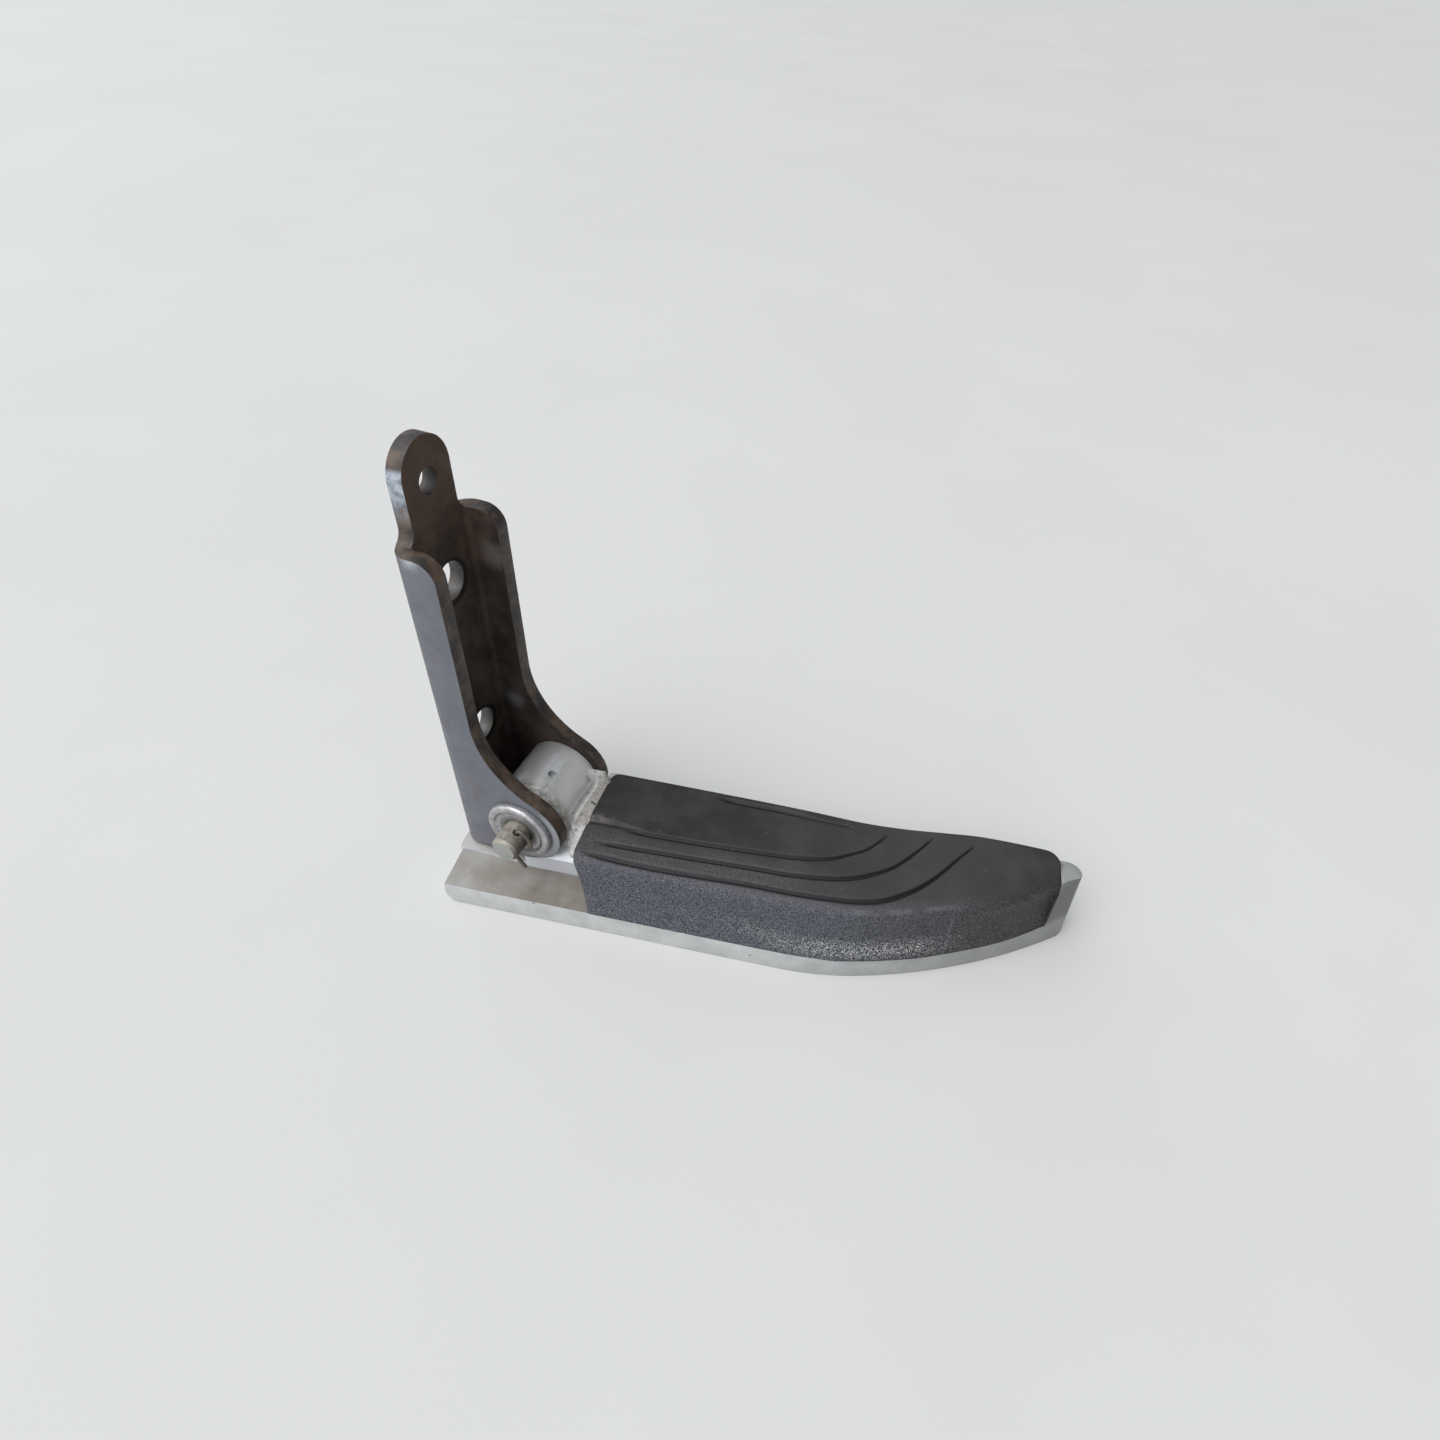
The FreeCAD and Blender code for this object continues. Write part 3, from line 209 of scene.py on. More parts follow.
class Sheet:
    """A shader node tree with short calls that add and join nodes."""

    def __init__(self, tree: bpy.types.NodeTree) -> None:
        """Keep the tree that the calls add to."""
        self.tree = tree

    def add(self, kind: str, inputs: dict, **settings: object) -> bpy.types.Node:
        """Add one node.

        Args:
            kind: The node's type.
            inputs: Values or sockets by the name or number of the input they go into.
            settings: The node's own options.

        Returns:
            The node.
        """
        node = self.tree.nodes.new(kind)
        for name, value in settings.items():
            setattr(node, name, value)
        for key, value in inputs.items():
            if isinstance(value, Socket):
                self.tree.links.new(value, node.inputs[key])
            else:
                node.inputs[key].default_value = value
        return node

    def math(self, operation: str, first: object, second: object = 0.0) -> Socket:
        """Work out one sum on two values."""
        return self.add("ShaderNodeMath", {0: first, 1: second}, operation=operation).outputs[0]

    def plus(self, first: object, second: object) -> Socket:
        """Add two values."""
        return self.math("ADD", first, second)

    def less(self, first: object, second: object) -> Socket:
        """Take the second value from the first."""
        return self.math("SUBTRACT", first, second)

    def times(self, first: object, *others: object) -> Socket:
        """Multiply values.

        Args:
            first: The first value.
            others: The values to multiply it by, in turn.

        Returns:
            The product.
        """
        for value in others:
            first = self.math("MULTIPLY", first, value)
        return first

    def most(self, first: object, *others: object) -> Socket:
        """Take the highest of some values.

        Args:
            first: The first value.
            others: The values to compare it with, in turn.

        Returns:
            The highest one.
        """
        for value in others:
            first = self.math("MAXIMUM", first, value)
        return first

    def mix(self, mask: object, low: object, high: object) -> Socket:
        """Mix two colours by a mask."""
        inputs = {0: mask, 6: paint(low), 7: paint(high)}
        return self.add("ShaderNodeMix", inputs, data_type="RGBA").outputs[2]

    def ramp(self, value: object, low: object, high: object) -> Socket:
        """Ease a value from 0 at low to 1 at high."""
        inputs = {"Value": value, "From Min": low, "From Max": high}
        return self.add("ShaderNodeMapRange", inputs, interpolation_type="SMOOTHSTEP").outputs[0]

    def band(self, value: object, rise: Range, fall: Range) -> Socket:
        """Give the mask of a band, between where it rises and where it falls."""
        return self.times(self.ramp(value, *rise), self.ramp(value, *fall))

    def span(self, value: object, low: float, high: float) -> Socket:
        """Spread a value from 0 to 1 over the range from low to high."""
        inputs = {"Value": value, "To Min": low, "To Max": high}
        return self.add("ShaderNodeMapRange", inputs).outputs[0]

    def group(self, name: str, inputs: dict) -> bpy.types.Node:
        """Add a shared effect."""
        return self.add("ShaderNodeGroup", inputs, node_tree=bpy.data.node_groups[name])

    def cloud(self, place: object, cloud: Cloud) -> Socket:
        """Give the mask of cloudy patches.

        Args:
            place: The place on the object in mm.
            cloud: The patches.

        Returns:
            The mask.
        """
        inputs = {"Place": place, "Scale": cloud.scale, "Detail": cloud.detail}
        inputs.update({"Low": cloud.low, "High": cloud.high})
        mask = self.group("cloud_mask", inputs).outputs[0]
        return mask if cloud.share == 1.0 else self.times(mask, cloud.share)

    def spot(self, place: object, spot: Spot) -> Socket:
        """Give the mask of one round patch.

        Args:
            place: The place on the object in mm.
            spot: The patch.

        Returns:
            The mask.
        """
        inputs = {"Place": place, "Centre": spot.centre, "Radius": spot.radius}
        inputs.update({"Edge": spot.edge, "Ragged": spot.ragged})
        mask = self.group("spot_mask", inputs).outputs[0]
        return mask if spot.share == 1.0 else self.times(mask, spot.share)

    def specks(self, place: object, specks: Specks) -> Socket:
        """Give the mask of small dots."""
        away = self.add("ShaderNodeTexVoronoi", {"Vector": place, "Scale": specks.scale}).outputs["Distance"]
        return self.times(self.ramp(away, *specks.edge), self.cloud(place, specks.clouds), specks.share)

    def noise(self, place: object, scale: float, detail: float) -> Socket:
        """Give plain noise."""
        return self.add("ShaderNodeTexNoise", {"Vector": place, "Scale": scale, "Detail": detail}).outputs[0]

    def bump(self, height: object, strength: float, distance: float) -> Socket:
        """Turn a height, in metres at its full strength, into a normal."""
        inputs = {"Strength": strength, "Distance": distance, "Height": height}
        return self.add("ShaderNodeBump", inputs).outputs[0]

    def relief(self, place: object, relief: Relief) -> Socket:
        """Give the normal of fine bumps."""
        return self.bump(self.noise(place, relief.scale, relief.detail), relief.strength, relief.height)

    def place(self) -> Socket:
        """Give the place on the object in mm."""
        spot = self.add("ShaderNodeTexCoord", {}).outputs["Object"]
        return self.add("ShaderNodeVectorMath", {0: spot, "Scale": 1 / MM}, operation="SCALE").outputs[0]

    def parts(self, vector: object) -> bpy.types.bpy_prop_collection:
        """Split a place or a direction into its three parts."""
        return self.add("ShaderNodeSeparateXYZ", {0: vector}).outputs

    def facing(self) -> bpy.types.bpy_prop_collection:
        """Give the three parts of the surface's own direction."""
        return self.parts(self.add("ShaderNodeTexCoord", {}).outputs["Normal"])

    def reading(self) -> Reading:
        """Read the place, in both frames."""
        place = self.place()
        return Reading(place, *self.group("peg_place", {"Place": place}).outputs)

    def lower_right(self, place: object, start: float, end: float) -> Socket:
        """Ease down to the right across the near end of the pivot, from start to end of it."""
        x, _, z = self.parts(place)
        return self.ramp(self.less(x, z), PIVOT_DIAGONAL + start, PIVOT_DIAGONAL + end)

    def share(self, name: str) -> Socket:
        """Read a share that the mesh carries at each point."""
        return self.add("ShaderNodeAttribute", {}, attribute_name=name).outputs["Fac"]


def paint(value: object) -> object:
    """Give a colour its fourth number, and leave a number or a socket as it is."""
    is_color = isinstance(value, tuple) and len(value) == 3
    return (*value, 1.0) if is_color else value


@dataclass(frozen=True)
class SharedEffects:
    """The node groups that the finishes share."""

    cloud_roughness: float = 0.62
    ragged_scale: float = 0.45
    ragged_detail: float = 5.0
    noise_middle: float = 0.5
    grain_detail: float = 3.0
    grain_roughness: float = 0.7
    grain_warp: float = 0.6
    cell_share: float = -0.6
    speck_edge: Range = (0.51, 0.60)

    def build(self) -> None:
        """Build every group."""
        self.cloud_mask()
        self.spot_mask()
        self.grain()
        self.peg_place()

    @staticmethod
    def start(name: str, numbers: tuple[str, ...]) -> tuple[Sheet, dict]:
        """Start a group that reads a place and some numbers.

        Args:
            name: The group's name.
            numbers: The names of its number inputs.

        Returns:
            The group's sheet and its inputs by name.
        """
        tree = bpy.data.node_groups.new(name, "ShaderNodeTree")
        tree.interface.new_socket("Place", in_out="INPUT", socket_type="NodeSocketVector")
        for label in numbers:
            kind = "NodeSocketVector" if label == "Centre" else "NodeSocketFloat"
            tree.interface.new_socket(label, in_out="INPUT", socket_type=kind)
        sheet = Sheet(tree)
        source = sheet.add("NodeGroupInput", {})
        return sheet, {label: source.outputs[label] for label in ("Place", *numbers)}

    @staticmethod
    def end(sheet: Sheet, results: dict) -> None:
        """Put a group's values out.

        Args:
            sheet: The group's sheet.
            results: The values by the names of its outputs.
        """
        for label in results:
            sheet.tree.interface.new_socket(label, in_out="OUTPUT", socket_type="NodeSocketFloat")
        sheet.add("NodeGroupOutput", results)

    def cloud_mask(self) -> None:
        """Build the mask of cloudy patches."""
        sheet, given = self.start("cloud_mask", ("Scale", "Detail", "Low", "High"))
        inputs = {"Vector": given["Place"], "Scale": given["Scale"], "Detail": given["Detail"]}
        noise = sheet.add("ShaderNodeTexNoise", {**inputs, "Roughness": self.cloud_roughness}).outputs[0]
        self.end(sheet, {"Mask": sheet.ramp(noise, given["Low"], given["High"])})

    def spot_mask(self) -> None:
        """Build the mask of one round patch with a ragged edge."""
        sheet, given = self.start("spot_mask", ("Centre", "Radius", "Edge", "Ragged"))
        ends = {0: given["Place"], 1: given["Centre"]}
        away = sheet.add("ShaderNodeVectorMath", ends, operation="DISTANCE").outputs["Value"]
        noise = sheet.noise(given["Place"], self.ragged_scale, self.ragged_detail)
        rough = sheet.times(sheet.less(noise, self.noise_middle), given["Ragged"])
        outer = sheet.plus(given["Radius"], given["Edge"])
        outside = sheet.ramp(sheet.plus(away, rough), given["Radius"], outer)
        self.end(sheet, {"Mask": sheet.less(1.0, outside)})

    def grain(self) -> None:
        """Build the rubber's moulded grain: its height, and the specks where painted glints go."""
        sheet, given = self.start("grain", ("Scale",))
        inputs = {"Vector": given["Place"], "Scale": given["Scale"]}
        cells = sheet.add("ShaderNodeTexVoronoi", inputs).outputs["Distance"]
        inputs.update({"Detail": self.grain_detail, "Roughness": self.grain_roughness})
        inputs["Distortion"] = self.grain_warp
        warp = sheet.add("ShaderNodeTexNoise", inputs).outputs[0]
        height = sheet.plus(warp, sheet.times(cells, self.cell_share))
        self.end(sheet, {"Height": height, "Speck": sheet.ramp(warp, *self.speck_edge)})

    def peg_place(self) -> None:
        """Build the turn from the row frame into the footrest's own frame."""
        sheet, given = self.start("peg_place", ())
        x, y, z = sheet.parts(given["Place"])
        x = sheet.less(x, PIVOT.x)
        cos, sin = math.cos(PEG_YAW), math.sin(PEG_YAW)
        along = sheet.plus(sheet.times(x, cos), sheet.times(y, sin))
        across = sheet.less(sheet.times(y, cos), sheet.times(x, sin))
        self.end(sheet, {"Along": along, "Across": across, "Height": sheet.less(z, PIVOT.z)})


@dataclass(frozen=True)
class Finish:
    """What every finish has: a name and the steps that turn it into a material."""

    name: str

    def material(self) -> bpy.types.Material:
        """Build the finish as a material.

        Returns:
            The material.
        """
        material = bpy.data.materials.new(self.name)
        material.use_nodes = True
        tree = material.node_tree
        shader = tree.nodes["Principled BSDF"]
        for name, value in self.sockets(Sheet(tree)).items():
            if isinstance(value, Socket):
                tree.links.new(value, shader.inputs[name])
            else:
                shader.inputs[name].default_value = value
        return material

    def sockets(self, sheet: Sheet) -> dict:
        """Give the values and sockets of the shader's inputs."""
        raise NotImplementedError


@dataclass(frozen=True)
class FloorFinish(Finish):
    """The pale floor, with faint clouds."""

    color: Color = (0.575, 0.573, 0.555)
    clouds: Cloud = Cloud(0.004, 0.35, 0.65)
    cloud_shade: float = 0.97
    roughness: float = 0.55
    gloss: float = 0.25

    def sockets(self, sheet: Sheet) -> dict:
        """Give a pale colour with faint clouds.

        Args:
            sheet: The material's sheet.

        Returns:
            The shader's inputs.
        """
        shade = tuple(self.cloud_shade * part for part in self.color)
        color = sheet.mix(sheet.cloud(sheet.place(), self.clouds), self.color, shade)
        return {"Base Color": color, "Roughness": self.roughness, "Specular IOR Level": self.gloss}


@dataclass(frozen=True)
class OuterPaint(Finish):
    """The bracket's outer paint: satin blue-grey, dusty and slightly browned, with painted shade towards the
    bend and a painted highlight on the near flange's top corner.
    """

    color: Color = (0.105, 0.110, 0.132)
    dusty: Color = (0.125, 0.127, 0.146)
    brown: Color = (0.075, 0.055, 0.045)
    worn: Color = (0.24, 0.245, 0.25)
    # the colour of the painted highlight on the top corner
    corner: Color = (0.55, 0.58, 0.60)
    shade: Color = (0.050, 0.050, 0.056)
    clouds: Cloud = Cloud(0.09, 0.38, 0.66)
    stains: Cloud = Cloud(0.16, 0.50, 0.74, 6.0, 0.45)
    fold_shade: Range = (6.0, 1.0)
    fold_shade_share: float = 0.75
    ring: Spot = Spot((PIVOT.x, -EAR_OUTER, PIVOT.z), 11.6, 0.8, 0.5)
    ring_hole: Spot = Spot((PIVOT.x, -EAR_OUTER, PIVOT.z), 9.9, 0.5)
    ring_side: Range = (-4.3, 3.7)
    ring_share: float = 0.9
    corner_highlight: Spot = Spot((6.5, -13.4, 39.0), 0.2, 3.4, 3.0, 0.5)
    gloss: Cloud = Cloud(0.3, 0.3, 0.7)
    roughness: Range = (0.34, 0.50)
    grain: Relief = Relief(2.2, 4.0, 0.12, 0.0002)

    def sockets(self, sheet: Sheet) -> dict:
        """Give the paint's clouds, brown tint, painted shade towards the bend, worn ring, painted highlight
        on the top corner and fine grain.

        Args:
            sheet: The material's sheet.

        Returns:
            The shader's inputs.
        """
        place = sheet.place()
        color = sheet.mix(sheet.cloud(place, self.clouds), self.color, self.dusty)
        color = sheet.mix(sheet.cloud(place, self.stains), color, self.brown)
        # painted shade: darker towards the bend's curve
        fold_shade = sheet.times(sheet.ramp(sheet.parts(place)[0], *self.fold_shade), self.fold_shade_share)
        color = sheet.mix(fold_shade, color, self.shade)
        ring = sheet.less(sheet.spot(place, self.ring), sheet.spot(place, self.ring_hole))
        ring = sheet.times(ring, sheet.lower_right(place, *self.ring_side), self.ring_share)
        color = sheet.mix(ring, color, self.worn)
        # painted highlight on the near flange's top corner
        color = sheet.mix(sheet.spot(place, self.corner_highlight), color, self.corner)
        roughness = sheet.span(sheet.cloud(place, self.gloss), *self.roughness)
        return {"Base Color": color, "Roughness": roughness, "Normal": sheet.relief(place, self.grain)}


@dataclass(frozen=True)
class InnerPaint(Finish):
    """The bracket's inner faces: dark brown-black, rusty in patches, with painted shadow rings by the bolt
    holes and a smudge with painted sheen.
    """

    color: Color = (0.028, 0.0215, 0.0195)
    lighter: Color = (0.060, 0.048, 0.040)
    tan: Color = (0.094, 0.060, 0.041)
    rust: Color = (0.100, 0.058, 0.036)
    # the colour of the painted shadow rings by the bolt holes
    ring: Color = (0.006, 0.0055, 0.005)
    smudge: Color = (0.15, 0.137, 0.130)
    smudge_sheen: Color = (0.16, 0.165, 0.185)
    clouds: Cloud = Cloud(0.13, 0.36, 0.70, 6.0)
    rust_patches: Cloud = Cloud(0.15, 0.40, 0.78, 8.0)
    rust_shoulder: Spot = Spot((6.0, 3.0, 38.0), 6.0, 26.0, 14.0)
    rust_shares: Range = (0.25, 1.0)
    tan_rise: Range = (30.0, 48.0)
    tan_share: float = 0.62
    ring_shadow_shift: tuple[float, float] = (0.4, -0.6)
    ring_shadow_radius: float = 5.6
    ring_shadow_edge: float = 1.3
    ring_shadow_ragged: float = 0.8
    ring_share: float = 0.85
    upper_smudge: Spot = Spot((9.6, EAR_INNER, 27.0), 0.8, 4.6, 2.5, 0.58)
    lower_smudge_sheen: Spot = Spot((8.6, EAR_INNER, -21.1), 0.6, 3.6, 2.0, 0.60)
    patches: Cloud = Cloud(0.25, 0.3, 0.7)
    roughness: Range = (0.48, 0.72)
    gloss: float = 0.16
    grain: Relief = Relief(1.3, 6.0, 0.3, 0.0002)

    def sockets(self, sheet: Sheet) -> dict:
        """Give the dark paint with rust clouds, painted shadow rings round the holes, a pale smudge and a
        pale bluish smudge with painted sheen.

        Args:
            sheet: The material's sheet.

        Returns:
            The shader's inputs.
        """
        place = sheet.place()
        color = sheet.mix(sheet.cloud(place, self.clouds), self.color, self.lighter)
        shoulder = sheet.span(sheet.spot(place, self.rust_shoulder), *self.rust_shares)
        color = sheet.mix(sheet.times(sheet.cloud(place, self.rust_patches), shoulder), color, self.rust)
        raised = sheet.ramp(sheet.parts(place)[2], *self.tan_rise)
        color = sheet.mix(sheet.times(raised, self.tan_share), color, self.tan)
        # painted shadow: dark rings round the bolt holes, set a little low
        for height in BOLT_HEIGHTS:
            centre = (SHEET, self.ring_shadow_shift[0], height + self.ring_shadow_shift[1])
            ring = Spot(centre, self.ring_shadow_radius, self.ring_shadow_edge, self.ring_shadow_ragged, self.ring_share)
            color = sheet.mix(sheet.spot(place, ring), color, self.ring)
        color = sheet.mix(sheet.spot(place, self.upper_smudge), color, self.smudge)
        # a pale bluish smudge whose colour includes painted sheen
        color = sheet.mix(sheet.spot(place, self.lower_smudge_sheen), color, self.smudge_sheen)
        roughness = sheet.span(sheet.cloud(place, self.patches), *self.roughness)
        return {"Base Color": color, "Roughness": roughness, "Normal": sheet.relief(place, self.grain),
                "Specular IOR Level": self.gloss}


@dataclass(frozen=True)
class CutEdge(Finish):
    """The bracket's sheet edges: dark brown, with painted shade in the holes and the gap at the far ear, and
    bright in places: worn paint with painted highlight.
    """

    color: Color = (0.020, 0.0165, 0.015)
    brown: Color = (0.095, 0.062, 0.041)
    # the colour of worn paint with painted highlight
    bright: Color = (0.50, 0.56, 0.63)
    # the colour of the painted shade in the holes and the far ear's gap
    hole: Color = (0.012, 0.010, 0.009)
    base_wear_and_highlight: float = 0.0
    clouds: Cloud = Cloud(0.22, 0.36, 0.68, 7.0)
    bolt_rim: float = 6.2
    tab_rim: float = 3.9
    rim_edge: float = 0.8
    hole_shade_share: float = 0.85
    tab_rise: Range = (42.0, 54.5)
    tab_fall: Range = (60.0, 56.0)
    tab_side: Range = (-7.2, -8.1)
    outer_side: Range = (-13.2, -14.0)
    outer_top: Range = (39.0, 35.0)
    gap_start: Range = (9.0, 10.0)
    gap_end: Range = (11.3, 10.5)
    gap_top: Range = (-22.0, -28.0)
    crown: Spot = Spot((8.0, -14.0, 38.5), 2.5, 4.0, 2.0)
    wear_clouds: Cloud = Cloud(0.35, 0.30, 0.58, 6.0)
    wear_shares: Range = (0.25, 1.0)
    roughness: Range = (0.55, 0.32)
    metallic: Range = (0.0, 0.6)
    grain: Relief = Relief(1.6, 6.0, 0.35, 0.0003)

    def sockets(self, sheet: Sheet) -> dict:
        """Give rusty brown, with painted shade by the holes and in the gap at the far ear, and bright bluish
        edges on the tab, the outer edges and the top corner: worn paint with painted highlight.

        Args:
            sheet: The material's sheet.

        Returns:
            The shader's inputs.
        """
        place = sheet.place()
        _, y, z = sheet.parts(place)
        color = sheet.mix(sheet.cloud(place, self.clouds), self.color, self.brown)
        # painted shade on the edges round the bolt holes and the tab hole
        rims = [(height, self.bolt_rim) for height in BOLT_HEIGHTS] + [(TAB_HOLE_HEIGHT, self.tab_rim)]
        for height, radius in rims:
            rim = Spot((SHEET, 0.0, height), radius, self.rim_edge, share=self.hole_shade_share)
            color = sheet.mix(sheet.spot(place, rim), color, self.hole)
        # painted shadow in the gap between the hub and the far ear
        gap = sheet.times(sheet.band(y, self.gap_start, self.gap_end), sheet.ramp(z, *self.gap_top))
        color = sheet.mix(sheet.times(gap, self.hole_shade_share), color, self.hole)
        # bright edges on the tab, the outer edges and the top corner: worn paint with painted highlight
        tab = sheet.times(sheet.band(z, self.tab_rise, self.tab_fall), sheet.ramp(y, *self.tab_side))
        outer = sheet.times(sheet.ramp(y, *self.outer_side), sheet.ramp(z, *self.outer_top), self.base_wear_and_highlight)
        crown = sheet.times(sheet.spot(place, self.crown), self.base_wear_and_highlight)
        uneven = sheet.span(sheet.cloud(place, self.wear_clouds), *self.wear_shares)
        wear_and_highlight = sheet.times(sheet.most(tab, outer, crown), uneven)
        return {"Base Color": sheet.mix(wear_and_highlight, color, self.bright),
                "Roughness": sheet.span(wear_and_highlight, *self.roughness),
                "Metallic": sheet.span(wear_and_highlight, *self.metallic), "Normal": sheet.relief(place, self.grain)}


@dataclass(frozen=True)
class CastSilver(Finish):
    """The casting's silver paint with dust, brown grime and small chips, with painted shade towards the outer
    end and on the nose's sides, and painted light on the hub, the near wall, the nose's top and the rounded
    edges.
    """

    color: Color = (0.445, 0.45, 0.445)
    lighter: Color = (0.545, 0.545, 0.545)
    dust: Color = (0.140, 0.119, 0.090)
    # the colour of the painted light on the hub
    pale: Color = (0.80, 0.80, 0.77)
    grime: Color = (0.12, 0.092, 0.068)
    chip: Color = (0.09, 0.085, 0.08)
    # the colour of the painted shade towards the outer end and on the nose's sides
    outer_shade: Color = (0.14, 0.147, 0.138)
    # the colour of the painted highlight on the rounded edges
    rubbed_highlight: Color = (0.82, 0.83, 0.83)
    ledge: Color = (0.36, 0.35, 0.335)
    # the colour of the painted light on the near wall
    wall: Color = (0.66, 0.67, 0.73)
    # the colour of the oil hole's painted shade
    speck: Color = (0.03, 0.028, 0.026)
    cream: Color = (0.62, 0.585, 0.53)
    edge_highlight_share: float = 0.0
    clouds: Cloud = Cloud(0.12, 0.35, 0.68, 5.0)
    outer_shade_along: Range = (55.0, 150.0)
    outer_shade_share: float = 0.62
    level_facing: Range = (0.55, 0.9)
    inner_along: Range = (26.0, 20.0)
    shelf_height: Range = (-16.3, -16.9)
    shelf_along: Range = (60.0, 30.0)
    shelf_start: Range = (-22.0, 8.0)
    shelf_shares: Range = (0.78, 1.0)
    dust_clouds: Cloud = Cloud(0.10, 0.28, 0.66, 7.0)
    dust_shares: Range = (0.74, 1.0)
    ledge_rise: Range = (-17.0, -16.6)
    ledge_fall: Range = (-9.0, -12.0)
    ledge_along: Range = (30.0, 24.0)
    hub_height: Range = (-9.0, -5.0)
    lit_along: Range = (4.0, 8.5)
    lit_share: float = 0.9
    lit_wall_facing: Range = (-0.5, -0.8)
    wall_rise: Range = (-17.4, -16.6)
    wall_fall: Range = (-8.0, -10.0)
    lit_wall_share: float = 0.7
    nose_along: Range = (143.5, 145.0)
    nose_height: Range = (-17.5, -15.0)
    nose_side_shade_facing: Range = (0.5, 0.2)
    nose_top_light_share: float = 0.3
    grime_side: Range = (-3.0, -10.5)
    grime_side_share: float = 0.55
    grime_clouds: Cloud = Cloud(0.24, 0.44, 0.80, 8.0)
    grime_edge: Range = (0.35, 1.0)
    grime_share: float = 0.65
    fringe_side: Range = (-5.0, -8.5)
    fringe_clouds: Cloud = Cloud(0.4, 0.36, 0.56, 7.0)
    crust_side: Range = (-4.0, -7.5)
    crust_clouds: Cloud = Cloud(0.55, 0.50, 0.60, 8.0)
    crust_share: float = 0.75
    oil_hole_shade: Spot = Spot((25.7, -1.1, -33.5), 0.8, 0.6, 0.8, 0.85)
    chips: Specks = Specks(0.16, (0.085, 0.05), Cloud(0.09, 0.48, 0.56, 2.0), 0.8)
    rub_clouds: Cloud = Cloud(0.3, 0.3, 0.6, 5.0)
    rub_shares: Range = (0.4, 1.0)
    roughness: Range = (0.40, 0.70)
    metallic: float = 0.45
    edge_metallic: float = 0.1
    dust_metallic: float = 0.05
    grain: Relief = Relief(0.9, 6.0, 0.22, 0.0004)

    def sockets(self, sheet: Sheet) -> dict:
        """Give the silver with dust on level faces, grime round the hub and chips on the side, with painted
        shade towards the outer end and on the nose's sides and painted light on the hub, the near wall, the
        nose's top and the rounded edges.

        Args:
            sheet: The material's sheet.

        Returns:
            The shader's inputs.
        """
        at = sheet.reading()
        facing = sheet.facing()
        level = sheet.ramp(facing[2], *self.level_facing)
        inner = sheet.ramp(at.along, *self.inner_along)
        hub = sheet.times(sheet.ramp(at.height, *self.hub_height), inner)
        color = sheet.mix(sheet.cloud(at.place, self.clouds), self.color, self.lighter)
        # painted shade: darker towards the outer end of the blade
        outer_shade = sheet.times(sheet.ramp(at.along, *self.outer_shade_along), self.outer_shade_share)
        color = sheet.mix(outer_shade, color, self.outer_shade)
        ledge = sheet.times(level, sheet.band(at.height, self.ledge_rise, self.ledge_fall))
        color = sheet.mix(sheet.times(ledge, sheet.ramp(at.along, *self.ledge_along)), color, self.ledge)
        dusty = self.dust_mask(sheet, at, level)
        color = sheet.mix(dusty, color, self.dust)
        # painted light: the hub paler on its side towards the blade
        lit = sheet.times(hub, sheet.ramp(at.along, *self.lit_along), self.lit_share)
        color = sheet.mix(lit, color, self.pale)
        # painted light: the wall that faces the near side, bright and bluish
        wall = sheet.times(sheet.ramp(facing[1], *self.lit_wall_facing), inner, self.lit_wall_share)
        wall = sheet.times(wall, sheet.band(at.height, self.wall_rise, self.wall_fall))
        color = sheet.mix(wall, color, self.wall)
        # painted shade on the nose's sides and painted light on its top, by which way they face
        nose = sheet.times(sheet.ramp(at.along, *self.nose_along), sheet.ramp(at.height, *self.nose_height))
        color = sheet.mix(sheet.times(nose, sheet.ramp(facing[2], *self.nose_side_shade_facing)), color, self.outer_shade)
        color = sheet.mix(sheet.times(nose, level, self.nose_top_light_share), color, self.lighter)
        color = self.soil_hub(sheet, at, hub, color)
        color = sheet.mix(sheet.specks(at.place, self.chips), color, self.chip)
        # painted highlight on the rounded edges, in patches, partly worn paint
        rubbed_highlight = sheet.span(sheet.cloud(at.place, self.rub_clouds), *self.rub_shares)
        color = sheet.mix(sheet.times(rubbed_highlight, self.edge_highlight_share), color, self.rubbed_highlight)
        metallic = self.edge_metallic if self.edge_highlight_share else self.metallic
        return {"Base Color": color, "Roughness": sheet.span(dusty, *self.roughness),
                "Metallic": sheet.span(dusty, metallic, self.dust_metallic),
                "Normal": sheet.relief(at.place, self.grain)}

    def dust_mask(self, sheet: Sheet, at: Reading, level: Socket) -> Socket:
        """Give the mask of the dust on the shelf.

        Args:
            sheet: The material's sheet.
            at: The point's places.
            level: The mask of level faces.

        Returns:
            The mask.
        """
        dusty = sheet.times(level, sheet.ramp(at.height, *self.shelf_height))
        dusty = sheet.times(dusty, sheet.ramp(at.along, *self.shelf_along))
        dusty = sheet.times(dusty, sheet.span(sheet.ramp(at.along, *self.shelf_start), *self.shelf_shares))
        return sheet.times(dusty, sheet.span(sheet.cloud(at.place, self.dust_clouds), *self.dust_shares))

